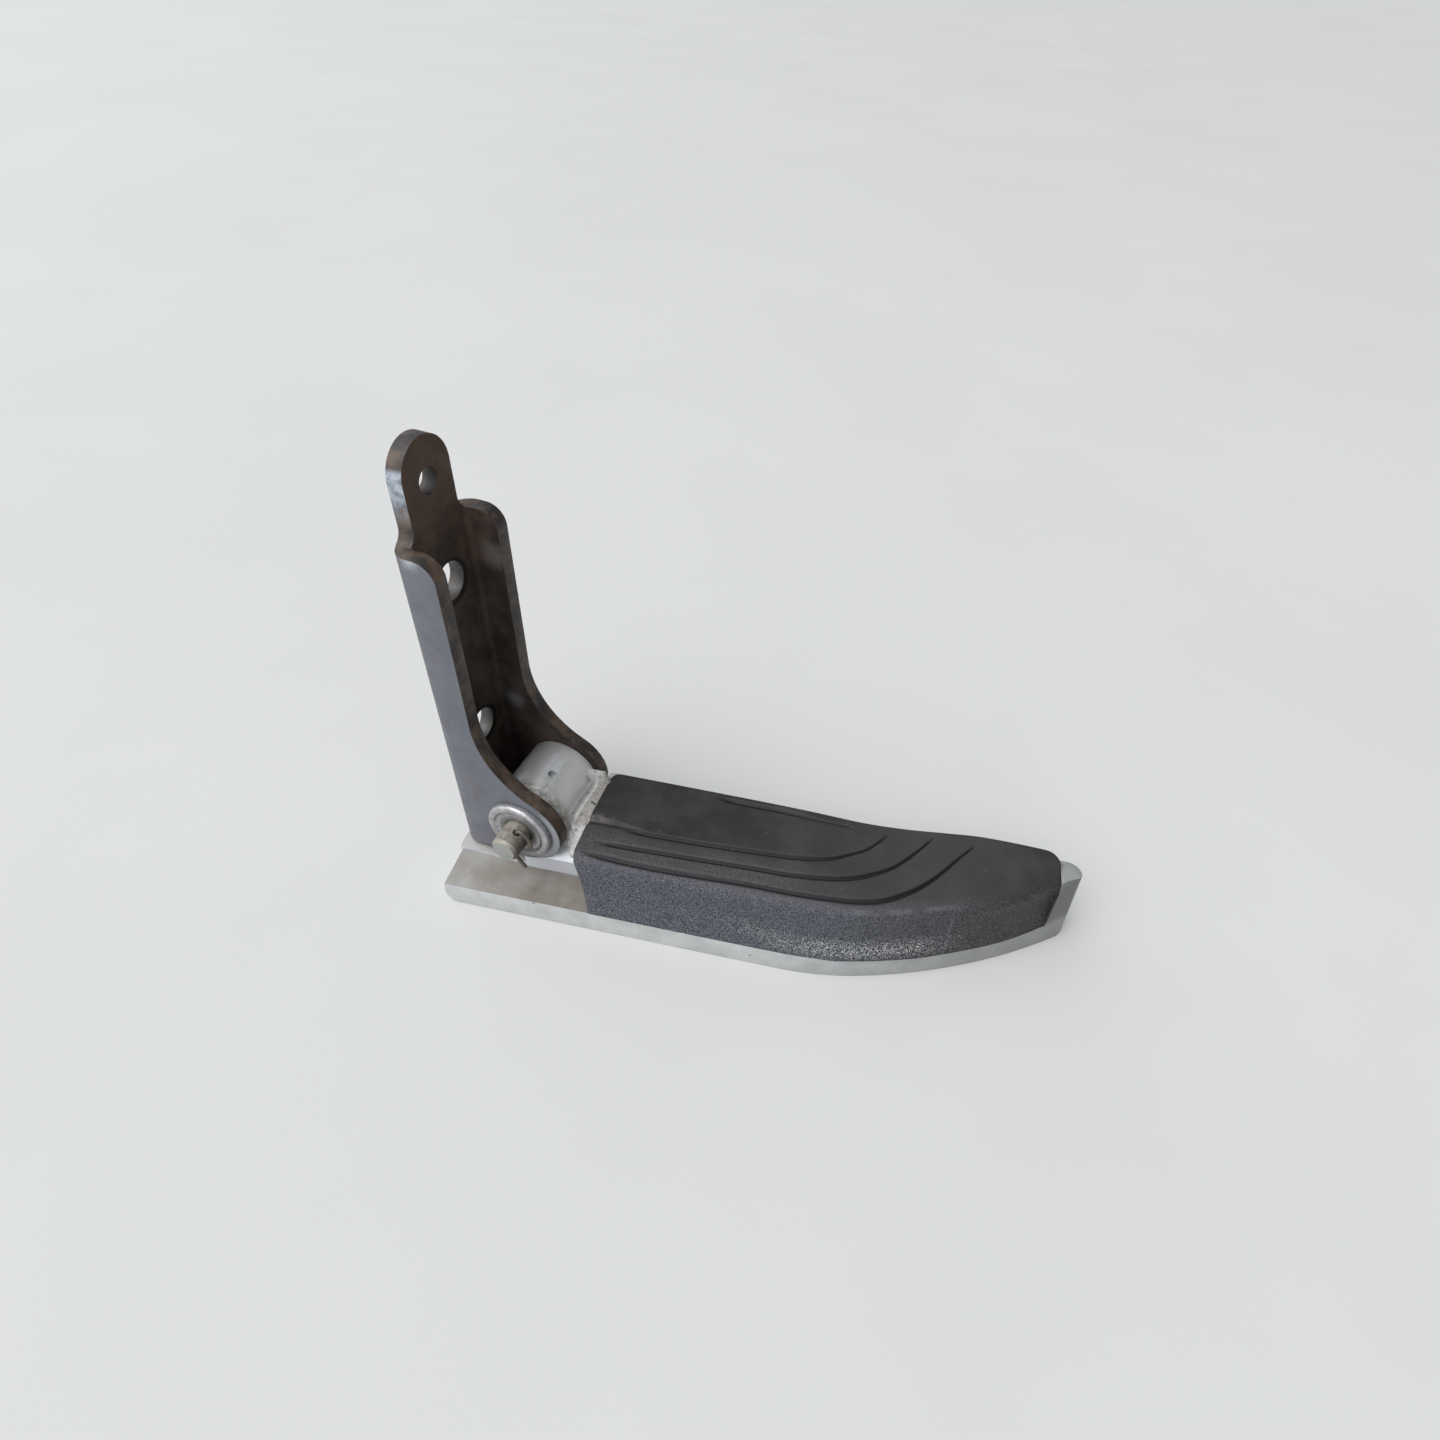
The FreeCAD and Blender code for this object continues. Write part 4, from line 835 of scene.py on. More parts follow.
    def soil_hub(self, sheet: Sheet, at: Reading, hub: Socket, color: Socket) -> Socket:
        """Put brown grime, a cream crust by the near ear and the painted shade of an oil hole on the hub.

        Args:
            sheet: The material's sheet.
            at: The point's places.
            hub: The mask of the hub.
            color: The colour so far.

        Returns:
            The colour with the soil on it.
        """
        side = sheet.parts(at.place)[1]
        ends = sheet.times(sheet.ramp(side, *self.grime_side), self.grime_side_share)
        ends = sheet.ramp(sheet.plus(ends, sheet.cloud(at.place, self.grime_clouds)), *self.grime_edge)
        fringe = sheet.times(sheet.ramp(side, *self.fringe_side), sheet.cloud(at.place, self.fringe_clouds))
        color = sheet.mix(sheet.times(sheet.most(ends, fringe), hub, self.grime_share), color, self.grime)
        crust = sheet.times(sheet.ramp(side, *self.crust_side), sheet.cloud(at.place, self.crust_clouds))
        color = sheet.mix(sheet.times(crust, hub, self.crust_share), color, self.cream)
        # painted shade: a dark spot where the oil hole is, which is not modelled
        return sheet.mix(sheet.spot(at.place, self.oil_hole_shade), color, self.speck)


@dataclass(frozen=True)
class NeckDust(Finish):
    """The neck's silver under cream dust, with brown stains and dark specks, a painted highlight along the
    hub's foot, painted light on the near slope, and lighter on the rib.
    """

    color: Color = (0.24, 0.226, 0.207)
    cream: Color = (0.35, 0.332, 0.308)
    # the colour of the painted light, and of the lighter rib
    bright: Color = (0.74, 0.73, 0.70)
    hub: Color = (0.40, 0.395, 0.385)
    stain: Color = (0.14, 0.112, 0.085)
    speck: Color = (0.025, 0.022, 0.02)
    clouds: Cloud = Cloud(0.5, 0.32, 0.62, 8.0)
    hub_foot: float = 12.1
    line_highlight_edge: Range = (0.6, 0.15)
    line_highlight_share: float = 0.6
    slope: Range = (-7.5, -9.5)
    rib: Range = (4.8, 6.2)
    rib_share: float = 0.45
    pale_clouds: Cloud = Cloud(0.9, 0.34, 0.56, 6.0)
    pale_shares: Range = (0.35, 1.0)
    hub_edge: Range = (-0.1, -0.7)
    stains: Cloud = Cloud(0.42, 0.52, 0.68, 8.0, 0.65)
    specks: Specks = Specks(0.55, (0.20, 0.12), Cloud(0.3, 0.46, 0.54, 2.0))
    crumbs: tuple[Spot, ...] = (
        Spot((36.3, 1.2, -43.0), 0.25, 0.3, 0.6),
        Spot((37.1, 1.0, -43.0), 0.25, 0.3, 0.6),
        Spot((35.7, -3.7, -43.0), 0.25, 0.3, 0.6),
    )
    roughness: float = 0.65
    metallic: float = 0.05
    grain: Relief = Relief(1.4, 6.0, 0.4, 0.0004)

    def sockets(self, sheet: Sheet) -> dict:
        """Give the dust, with a painted highlight along the hub's foot, painted light on the near slope, and
        lighter on the rib, broken up by dust clouds.

        Args:
            sheet: The material's sheet.

        Returns:
            The shader's inputs.
        """
        at = sheet.reading()
        color = sheet.mix(sheet.cloud(at.place, self.clouds), self.color, self.cream)
        foot = sheet.less(sheet.parts(at.place)[0], PIVOT.x + self.hub_foot)
        # painted highlight: a thin line along the hub's foot
        line = sheet.times(sheet.ramp(sheet.math("ABSOLUTE", foot), *self.line_highlight_edge), self.line_highlight_share)
        rib = sheet.times(sheet.ramp(at.across, *self.rib), self.rib_share)
        # painted light on the near slope, with the lighter rib, broken up by dust clouds
        pale = sheet.most(line, sheet.ramp(at.across, *self.slope), rib)
        pale = sheet.times(pale, sheet.span(sheet.cloud(at.place, self.pale_clouds), *self.pale_shares))
        color = sheet.mix(pale, color, self.bright)
        color = sheet.mix(sheet.ramp(foot, *self.hub_edge), color, self.hub)
        color = sheet.mix(sheet.cloud(at.place, self.stains), color, self.stain)
        crumbs = [sheet.spot(at.place, crumb) for crumb in self.crumbs]
        color = sheet.mix(sheet.most(sheet.specks(at.place, self.specks), *crumbs), color, self.speck)
        return {"Base Color": color, "Roughness": self.roughness, "Metallic": self.metallic,
                "Normal": sheet.relief(at.place, self.grain)}


@dataclass(frozen=True)
class PadRubber(Finish):
    """The pad's rubber: smooth and charcoal on top, grained and lighter bluish on its flank, a colour that
    also stands in for the light the flank reflects; with painted glints, a painted highlight along the crest
    and painted shade in the grooves.
    """

    top: Color = (0.0110, 0.0086, 0.0088)
    outer_top: Color = (0.0375, 0.0325, 0.0325)
    tip: Color = (0.0270, 0.0242, 0.0258)
    strip: Color = (0.080, 0.070, 0.071)
    # the flank's colour: grained rubber, lighter and bluer to stand in for reflected light
    flank: Color = (0.088, 0.092, 0.116)
    # near black: the grain's pits and the painted shade in the grooves
    groove: Color = (0.008, 0.008, 0.008)
    # the colour of the painted glints
    pale: Color = (0.52, 0.52, 0.49)
    # pale colour of the dust motes and the seam, and of the painted highlight along the crest
    light: Color = (0.13, 0.133, 0.14)
    dust: Color = (0.16, 0.145, 0.125)
    outer_along: Range = (25.0, 115.0)
    tip_along: Range = (108.0, 138.0)
    flank_along: Range = (80.0, 140.0)
    strip_across: Range = (-7.0, -16.0)
    strip_along: Range = (100.0, 60.0)
    strip_share: float = 0.6
    strip_clouds: Cloud = Cloud(0.07, 0.35, 0.70, 5.0, 0.30)
    grain_scale: float = 2.8
    pit_edge: Range = (0.32, 0.06)
    pit_share: float = 0.8
    glint_drop: float = 2.5
    glint_drop_along: Range = (75.0, 60.0)
    glint_top: Range = (-9.8, -13.2)
    glint_bottom: Range = (-17.6, -15.0)
    glint_start: Range = (52.0, 92.0)
    glint_end: Range = (126.0, 102.0)
    glint_share: float = 0.85
    glint_least: float = 0.16
    glint_strip: float = 0.35
    streak_low: Range = (0.40, 0.55)
    streak_high: Range = (0.80, 0.65)
    streak_start: Range = (84.0, 92.0)
    streak_end: Range = (121.0, 114.0)
    streak_clouds: Cloud = Cloud(0.16, 0.34, 0.60, 6.0, 0.55)
    seam_along: float = 117.4
    seam_edge: Range = (0.45, 0.1)
    seam_height: Range = (-3.5, -6.0)
    seam_share: float = 0.5
    crease_near: Range = (-8.4, -7.2)
    crease_far: Range = (-4.6, -6.4)
    crease_shares: Range = (0.06, 0.60)
    dust_clouds: Cloud = Cloud(0.4, 0.40, 0.66, 8.0)
    motes: Specks = Specks(0.42, (0.10, 0.05), Cloud(0.11, 0.48, 0.60, 2.0), 0.6)
    fine_scale: float = 3.0
    fine_detail: float = 3.0
    fine_share: float = 0.15
    relief_shares: Range = (0.12, 1.0)
    relief_strength: float = 0.55
    relief_height: float = 0.0004
    roughness: Range = (0.50, 0.44)
    gloss: float = 0.31

    def sockets(self, sheet: Sheet) -> dict:
        """Give the rubber's parts from the shares that the pad's mesh carries.

        Args:
            sheet: The material's sheet.

        Returns:
            The shader's inputs.
        """
        at = sheet.reading()
        side = sheet.share("flank")
        grain = sheet.group("grain", {"Place": at.place, "Scale": self.grain_scale}).outputs
        worn = sheet.times(sheet.ramp(at.across, *self.strip_across), sheet.ramp(at.along, *self.strip_along))
        worn = sheet.plus(sheet.times(worn, self.strip_share), sheet.cloud(at.place, self.strip_clouds))
        top = sheet.mix(sheet.ramp(at.along, *self.outer_along), self.top, self.outer_top)
        top = sheet.mix(sheet.ramp(at.along, *self.tip_along), top, self.tip)
        # the flank lighter and bluer than the top: grained rubber with painted reflection
        flank = sheet.mix(sheet.ramp(at.along, *self.flank_along), self.flank, self.tip)
        color = sheet.mix(side, sheet.mix(worn, top, self.strip), flank)
        pits = sheet.times(sheet.ramp(grain["Height"], *self.pit_edge), self.pit_share)
        color = sheet.mix(sheet.times(sheet.most(side, worn), pits), color, self.groove)
        # painted glints on the grain's specks
        color = sheet.mix(sheet.times(self.glint(sheet, at, side, worn), grain["Speck"]), color, self.pale)
        # painted highlight along the crest's shoulder, partly dust, in patches
        crest_highlight = sheet.times(sheet.band(side, self.streak_low, self.streak_high),
                             sheet.band(at.along, self.streak_start, self.streak_end))
        color = sheet.mix(sheet.times(crest_highlight, sheet.cloud(at.place, self.streak_clouds)), color, self.light)
        seam = sheet.ramp(sheet.math("ABSOLUTE", sheet.less(at.along, self.seam_along)), *self.seam_edge)
        seam = sheet.times(seam, side, sheet.ramp(at.height, *self.seam_height), self.seam_share)
        color = sheet.mix(seam, color, self.light)
        # painted shade in the narrow grooves
        color = sheet.mix(sheet.share("groove"), color, self.groove)
        crease = sheet.span(sheet.band(at.across, self.crease_near, self.crease_far), *self.crease_shares)
        dusty = sheet.times(sheet.share("inner_end"), sheet.cloud(at.place, self.dust_clouds), crease)
        color = sheet.mix(dusty, color, self.dust)
        color = sheet.mix(sheet.specks(at.place, self.motes), color, self.light)
        fine = sheet.times(sheet.noise(at.place, self.fine_scale, self.fine_detail), self.fine_share)
        relief = sheet.plus(sheet.times(grain["Height"], sheet.span(side, *self.relief_shares)), fine)
        return {"Base Color": color, "Roughness": sheet.span(side, *self.roughness),
                "Normal": sheet.bump(relief, self.relief_strength, self.relief_height),
                "Specular IOR Level": self.gloss}

    def glint(self, sheet: Sheet, at: Reading, side: Socket, worn: Socket) -> Socket:
        """Give how much the grain's specks shine: most in a band low on the outer flank.

        Args:
            sheet: The material's sheet.
            at: The point's places.
            side: The share of flank.
            worn: The share of the worn strip on top.

        Returns:
            The mask.
        """
        drop = sheet.times(sheet.ramp(at.along, *self.glint_drop_along), self.glint_drop)
        glint = sheet.band(sheet.less(at.height, drop), self.glint_top, self.glint_bottom)
        glint = sheet.times(glint, sheet.band(at.along, self.glint_start, self.glint_end), self.glint_share)
        reach = sheet.most(side, sheet.times(worn, self.glint_strip))
        return sheet.times(sheet.plus(glint, self.glint_least), reach)


@dataclass(frozen=True)
class DullSteel(Finish):
    """Plated or plain steel with tarnish and grime."""

    color: Color = (0.42, 0.42, 0.43)
    grime: Color = (0.13, 0.105, 0.075)
    grime_share: float = 0.5
    roughness: float = 0.42
    metallic: float = 0.75
    clouds: Cloud = Cloud(0.9, 0.35, 0.65)
    cloud_shade: float = 0.8
    patches: Cloud = Cloud(0.45, 0.40, 0.70, 7.0)
    grimy_roughness: float = 0.7
    grimy_metallic: float = 0.1
    grain: Relief = Relief(2.5, 5.0, 0.25, 0.0002)

    def sockets(self, sheet: Sheet) -> dict:
        """Give the steel with patches of grime.

        Args:
            sheet: The material's sheet.

        Returns:
            The shader's inputs.
        """
        place = sheet.place()
        dirty = sheet.times(sheet.cloud(place, self.patches), self.grime_share)
        shade = tuple(self.cloud_shade * part for part in self.color)
        color = sheet.mix(sheet.cloud(place, self.clouds), self.color, shade)
        return {"Base Color": sheet.mix(dirty, color, self.grime),
                "Roughness": sheet.span(dirty, self.roughness, self.grimy_roughness),
                "Metallic": sheet.span(dirty, self.metallic, self.grimy_metallic),
                "Normal": sheet.relief(place, self.grain)}


@dataclass(frozen=True)
class WasherSteel(DullSteel):
    """The washer's plated steel, darker round the pin and in the step of its dish, most at the lower right:
    grime with painted shade, where the pin and the step cast shadow.
    """

    # the colour of the grime and painted shade
    ring: Color = (0.075, 0.07, 0.066)
    inner: Spot = Spot((PIVOT.x, WASHER_FACE, PIVOT.z), 4.9, 1.6, 1.2)
    inner_shade_shares: Range = (0.6, 0.9)
    step: Spot = Spot((PIVOT.x, WASHER_FACE, PIVOT.z), 7.6, 0.35, 0.3)
    step_hole: Spot = Spot((PIVOT.x, WASHER_FACE, PIVOT.z), 6.7, 0.4, 0.3)
    step_shade_shares: Range = (0.15, 0.7)
    lower: Range = (-2.0, 6.0)

    def sockets(self, sheet: Sheet) -> dict:
        """Give the steel with two dark rings of grime and painted shade.

        Args:
            sheet: The material's sheet.

        Returns:
            The shader's inputs.
        """
        result = super().sockets(sheet)
        place = sheet.place()
        # painted shade: the rings darkest at the lower right, in the pin's shadow
        lower = sheet.lower_right(place, *self.lower)
        step = sheet.less(sheet.spot(place, self.step), sheet.spot(place, self.step_hole))
        step = sheet.times(step, sheet.span(lower, *self.step_shade_shares))
        inner = sheet.times(sheet.spot(place, self.inner), sheet.span(lower, *self.inner_shade_shares))
        result["Base Color"] = sheet.mix(sheet.most(inner, step), result["Base Color"], self.ring)
        return result


@dataclass(frozen=True)
class PinSteel(DullSteel):
    """The pin's steel: grimy round its side, with painted shade at the lower right, and greyer on its end."""

    end: Color = (0.31, 0.32, 0.30)
    # the colour of the painted shade
    dark: Color = (0.045, 0.037, 0.026)
    end_facing: Range = (0.75, 0.92)
    end_share: float = 0.8
    lower: Range = (-1.0, 4.0)
    lower_shade_share: float = 0.8

    def sockets(self, sheet: Sheet) -> dict:
        """Give the grimy steel with painted shade at the lower right and a cleaner end face.

        Args:
            sheet: The material's sheet.

        Returns:
            The shader's inputs.
        """
        result = super().sockets(sheet)
        # painted shade on the pin's lower right side
        lower = sheet.times(sheet.lower_right(sheet.place(), *self.lower), self.lower_shade_share)
        color = sheet.mix(lower, result["Base Color"], self.dark)
        ahead = sheet.ramp(sheet.math("ABSOLUTE", sheet.facing()[1]), *self.end_facing)
        result["Base Color"] = sheet.mix(sheet.times(ahead, self.end_share), color, self.end)
        return result


@dataclass(frozen=True)
class Curve:
    """A smooth curve through a few points, read as a height over a length."""

    points: tuple[tuple[float, float], ...]

    def slope(self, index: int) -> float:
        """Give the curve's slope at one of its points.

        Args:
            index: The point's number.

        Returns:
            The slope from the point before it to the one after it.
        """
        before = self.points[max(index - 1, 0)]
        after = self.points[min(index + 1, len(self.points) - 1)]
        return (after[1] - before[1]) / (after[0] - before[0])

    def at(self, place: float) -> float:
        """Give the curve's height at a place, level beyond its ends.

        Args:
            place: The place along the curve's length.

        Returns:
            The height.
        """
        if place <= self.points[0][0]:
            return self.points[0][1]
        for index, (low, high) in enumerate(zip(self.points, self.points[1:])):
            if place <= high[0]:
                width = high[0] - low[0]
                t = (place - low[0]) / width
                rise = self.slope(index) * width
                run_out = self.slope(index + 1) * width
                lift = (2 * t ** 3 - 3 * t ** 2 + 1) * low[1] + (3 * t ** 2 - 2 * t ** 3) * high[1]
                return lift + (t ** 3 - 2 * t ** 2 + t) * rise + (t ** 3 - t ** 2) * run_out
        return self.points[-1][1]


@dataclass(frozen=True)
class Groove:
    """One moulded groove on top of the pad: its line seen from above, its size and how it fades out."""

    line: Curve
    start: float
    end: float
    start_fade: float = 9.0
    end_fade: float = 2.5
    half_width: float = 0.9
    depth: float = 0.8
    # how much painted shade the groove gets
    groove_shading: float = 1.0
    full_width: float = 1.2
    width_loss: float = 0.75
    narrowing: float = 24.0
    look_ahead: float = 0.5

    def cut(self, along: float, across: float) -> float:
        """Give the groove's depth at a place on the pad.

        Args:
            along: The place along the footrest.
            across: The place across it.

        Returns:
            The depth.
        """
        if not self.start < along < self.end:
            return 0.0
        rise = self.line.at(along + self.look_ahead) - self.line.at(along - self.look_ahead)
        away = abs(across - self.line.at(along)) / math.hypot(1, rise / (2 * self.look_ahead))
        loss = self.width_loss * smooth_step(along, self.end - self.narrowing, self.end)
        width = self.half_width * (self.full_width - loss)
        if away > width:
            return 0.0
        fade = smooth_step(along, self.start, self.start + self.start_fade)
        fade *= 1 - smooth_step(along, self.end - self.end_fade, self.end)
        return self.depth * fade * (1 - smooth_step(away, 0.0, width))


@dataclass(frozen=True)
class PadRow:
    """One row of the pad's points: its share of the length, step past the end, inset and share of size."""

    share: float
    past: float = 0.0
    inset: float = 0.0
    size: float = 1.0


@dataclass(frozen=True)
class RubberPad:
    """The moulded rubber pad, as rows of cross-sections along the footrest."""

    near_foot: Curve = Curve((
        (14, -25.8), (50, -25.8), (72, -25.7), (80, -25.3), (88, -24.5), (106, -19.7), (119, -14.5),
        (133, -7.7), (147, 1.6),
    ))
    crest_across: Curve = Curve((
        (14, -20.4), (50, -21.0), (76, -21.2), (90, -20.4), (103, -16.9), (116, -12.2), (130, -7.0),
        (146, 3.0),
    ))
    crest_height: Curve = Curve(((14, 0.9), (80, 0.8), (103, 0.2), (116, -0.3), (130, -0.8), (146, -1.0)))
    far_across: Curve = Curve((
        (14, 10.9), (60, 10.8), (88, 10.6), (102, 10.8), (116, 11.5), (128, 12.0), (145, 12.1),
    ))
    far_height: Curve = Curve((
        (14, 1.9), (45, 1.6), (75, 1.1), (90, 0.4), (102, 0.7), (116, 1.7), (128, 2.4), (145, 2.2),
    ))
    far_foot: float = 11.6
    crest_round: float = 4.2
    far_round: float = 1.3
    flank_hollow: float = 0.7
    crown: float = 0.5
    inner_end: float = 15.9
    inner_skew: float = 0.095
    inner_slant: float = -0.3
    slant_height: float = 1.0
    inner_corner: float = 3.0
    inner_corner_rest: float = 0.1
    outer_end: float = 145.2
    outer_lean: float = 1.7
    outer_corner: float = 4.5
    outer_corner_rest: float = 0.3
    end_round: float = 0.8
    top_squeeze: float = 0.45
    shade_depth: float = 0.4
    dusty_end: Range = (15.5, 26.0)
    grooves: tuple[Groove, ...] = (
        Groove(Curve((
            (14, -18.2), (18, -18.6), (36, -19.2), (63, -18.5), (76, -18.4), (89, -17.3), (97, -15.4),
            (102, -12.7), (107, -9.0), (112, -4.0), (118, 3.6), (122.4, 8.7),
        )), 14.6, 122.4),
        Groove(Curve((
            (20, -14.8), (49, -13.9), (62, -13.4), (76, -12.8), (89, -10.2), (99, -4.8), (104, 0.2),
            (111.2, 9.5),
        )), 18.0, 111.2),
        Groove(Curve((
            (26, -9.3), (47, -8.9), (61, -8.2), (75, -7.1), (83, -5.2), (88, -2.5), (93, 0.9), (98.7, 8.1),
        )), 24.0, 98.7),
        Groove(Curve(((46, 8.1), (58, 8.0), (66, 8.0), (73, 7.7), (81, 7.2), (90, 7.6))), 48.0, 88.5,
               start_fade=6.0, end_fade=1.5, half_width=1.0, depth=0.75),
        Groove(Curve(((13, -8.3), (18, -7.8), (24, -8.0), (34, -8.9))), 11.0, 34.0,
               start_fade=0.5, end_fade=14.0, half_width=1.75, depth=1.0, groove_shading=0.0),
    )
    rows: int = 330
    flank_steps: int = 34
    crest_steps: int = 12
    top_steps: int = 128
    side_steps: int = 8
    cap_steps: int = 5
    round_turn: int = 18

    def section(self, along: float) -> list[tuple[float, float, float]]:
        """Draw the cross-section at one place, from the bottom's middle round to it again.

        Args:
            along: The place along the footrest.

        Returns:
            Across, height and the share of flank of each point.
        """
        foot = Vector((self.near_foot.at(along), SHELF))
        crest = Vector((self.crest_across.at(along), self.crest_height.at(along)))
        far = Vector((self.far_across.at(along), self.far_height.at(along)))
        root = Vector((self.far_foot, SHELF))
        points = [(0.5 * (foot.x + root.x), SHELF, 1.0)]
        crest_arc = self.corner(foot, crest, far, self.crest_round, self.crest_steps)
        far_arc = self.corner(crest, far, root, self.far_round, self.side_steps)
        inward = Vector((crest.y - foot.y, foot.x - crest.x)).normalized()
        for step in range(self.flank_steps):
            share = step / self.flank_steps
            spot = foot.lerp(crest_arc[0], share) + inward * self.flank_hollow * math.sin(math.pi * share)
            points.append((spot.x, spot.y, 1.0))
        for step, spot in enumerate(crest_arc):
            points.append((spot.x, spot.y, 1 - step / self.crest_steps))
        for step in range(1, self.top_steps):
            share = step / self.top_steps
            spot = crest_arc[-1].lerp(far_arc[0], share)
            points.append((spot.x, spot.y + self.crown * math.sin(math.pi * share), 0.0))
        for spot in far_arc:
            points.append((spot.x, spot.y, 0.0))
        for step in range(1, self.side_steps + 1):
            spot = far_arc[-1].lerp(root, step / self.side_steps)
            points.append((spot.x, spot.y, 1.0))
        points.append(points[0])
        return points

    @staticmethod
    def corner(before: Vector, tip: Vector, after: Vector, radius: float, steps: int) -> list[Vector]:
        """Round one corner of a section with an arc.

        Args:
            before: The section's point before the corner.
            tip: The corner.
            after: The section's point after the corner.
            radius: The arc's radius.
            steps: The number of steps along the arc.

        Returns:
            The arc's points.
        """
        back = (before - tip).normalized()
        on = (after - tip).normalized()
        half = 0.5 * math.acos(max(-1.0, min(1.0, back.dot(on))))
        centre = tip + (back + on).normalized() * (radius / math.sin(half))
        first = tip + back * (radius / math.tan(half)) - centre
        turn = first.angle_signed(tip + on * (radius / math.tan(half)) - centre)
        points = []
        for step in range(steps + 1):
            angle = -turn * step / steps
            spin = Vector((first.x * math.cos(angle) - first.y * math.sin(angle),
                           first.x * math.sin(angle) + first.y * math.cos(angle)))
            points.append(centre + spin)
        return points

    @staticmethod
    def fall_back(reach: float, radius: float, rest: float) -> float:
        """Give how far a rounded corner of the plan falls back.

        Args:
            reach: The distance past the corner's start.
            radius: The corner's radius.
            rest: The square that is left at least, so that the corner doesn't turn straight back.

        Returns:
            The distance.
        """
        if reach <= 0:
            return 0.0
        return radius - math.sqrt(max(radius ** 2 - reach ** 2, rest))

    def ends(self, across: float, height: float) -> tuple[float, float]:
        """Give where the pad starts and stops along the footrest for one point of its section.

        Args:
            across: The point's place across the footrest.
            height: The point's height.

        Returns:
            The start and the stop.
        """
        first = self.inner_end + self.inner_skew * across + self.inner_slant * (height - self.slant_height)
        reach = across - (self.far_across.points[0][1] - self.inner_corner)
        first += self.fall_back(reach, self.inner_corner, self.inner_corner_rest)
        reach = across - (self.far_foot - self.outer_corner)
        last = self.outer_end - self.fall_back(reach, self.outer_corner, self.outer_corner_rest)
        return first, last + self.outer_lean * min(max(height / SHELF, 0.0), 1.0)

    def row_plan(self) -> list[PadRow]:
        """List the rows: the inner end's cap and rounded edge, the length, and the outer end's edge and cap.

        Returns:
            The rows.
        """
        caps = [step / self.cap_steps for step in range(self.cap_steps)]
        bends = []
        for angle in range(0, 90, self.round_turn):
            turn = math.radians(angle)
            bends.append((self.end_round * (1 - math.cos(turn)), self.end_round * (1 - math.sin(turn))))
        plan = [PadRow(0.0, 0.0, self.end_round, size) for size in caps]
        plan += [PadRow(0.0, past, inset) for past, inset in bends]
        plan += [PadRow(row / self.rows) for row in range(self.rows + 1)]
        plan += [PadRow(1.0, -past, inset) for past, inset in reversed(bends)]
        plan += [PadRow(1.0, 0.0, self.end_round, size) for size in reversed(caps)]
        return plan

    def place_row(self, row: PadRow) -> list[tuple[float, float, float, float, float]]:
        """Place the points of one row.

        Args:
            row: The row.

        Returns:
            Along, across, height, flank share and groove share of each point; the groove share is the painted
            shade in the grooves.
        """
        section = self.section(self.inner_end + row.share * (self.outer_end - self.inner_end))
        middle = Vector((0.5 * (section[1][0] + self.far_foot), 0.5 * SHELF))
        points = []
        for across, height, flank in section:
            spot = Vector((across, height))
            inward = middle - spot
            inward.x *= self.top_squeeze if flank < 0.5 else 1.0
            spot += inward.normalized() * row.inset
            spot = middle.lerp(spot, row.size)
            first, last = self.ends(spot.x, spot.y)
            low, high = first + self.end_round, last - self.end_round
            if row.past or row.inset:
                along = first + row.past if row.share == 0 else last + row.past
            else:
                along = low + row.share * (high - low)
            # dark: how much painted shade the grooves put on the point
            depth, dark = 0.0, 0.0
            if flank < 1.0:
                cuts = [(groove.cut(along, spot.x), groove.groove_shading) for groove in self.grooves]
                depth = max(cut for cut, _ in cuts)
                dark = max(cut * groove_shading for cut, groove_shading in cuts)
            points.append((along, spot.x, spot.y - depth, flank, min(dark / self.shade_depth, 1.0)))
        return points

    def build(self) -> bpy.types.Object:
        """Make the pad's mesh.

        Returns:
            The pad, with its flank, groove and inner end shares as attributes; the groove share carries
            painted shade.
        """
        table = [self.place_row(row) for row in self.row_plan()]
        columns, rows = len(table[0]) - 1, len(table) - 1
        deselect_all()
        bpy.ops.mesh.primitive_grid_add(x_subdivisions=columns, y_subdivisions=rows, size=1)
        pad = bpy.context.object
        pad.name = "ribbed_pad"
        mesh = pad.data
        shares = {name: [0.0] * len(mesh.vertices) for name in ("flank", "groove", "inner_end")}
        for vertex in mesh.vertices:
            column = round((vertex.co.x + 0.5) * columns)
            row = round((vertex.co.y + 0.5) * rows)
            along, across, height, flank, groove = table[row][column]
            vertex.co = peg_point(along, across, height)
            shares["flank"][vertex.index] = flank
            shares["groove"][vertex.index] = groove
            shares["inner_end"][vertex.index] = 1 - smooth_step(along, *self.dusty_end)
        for name, values in shares.items():
            mesh.attributes.new(name, "FLOAT", "POINT").data.foreach_set("value", values)
        make_active(pad)
        bpy.ops.object.mode_set(mode="EDIT")
        bpy.ops.mesh.select_all(action="SELECT")
        bpy.ops.mesh.remove_doubles(threshold=MERGE)
        bpy.ops.mesh.normals_make_consistent(inside=False)
        bpy.ops.object.mode_set(mode="OBJECT")
        bpy.ops.object.shade_smooth()
        return pad

    @staticmethod
    def dress(pad: bpy.types.Object) -> None:
        """Give the pad its rubber, in the place of its CAD node.

        Args:
            pad: The pad.
        """
        pad.data.materials.append(PadRubber("pad_rubber").material())
        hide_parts("rubber_pad")
        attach(pad, Body.FOOTREST.value)
        report(pad)


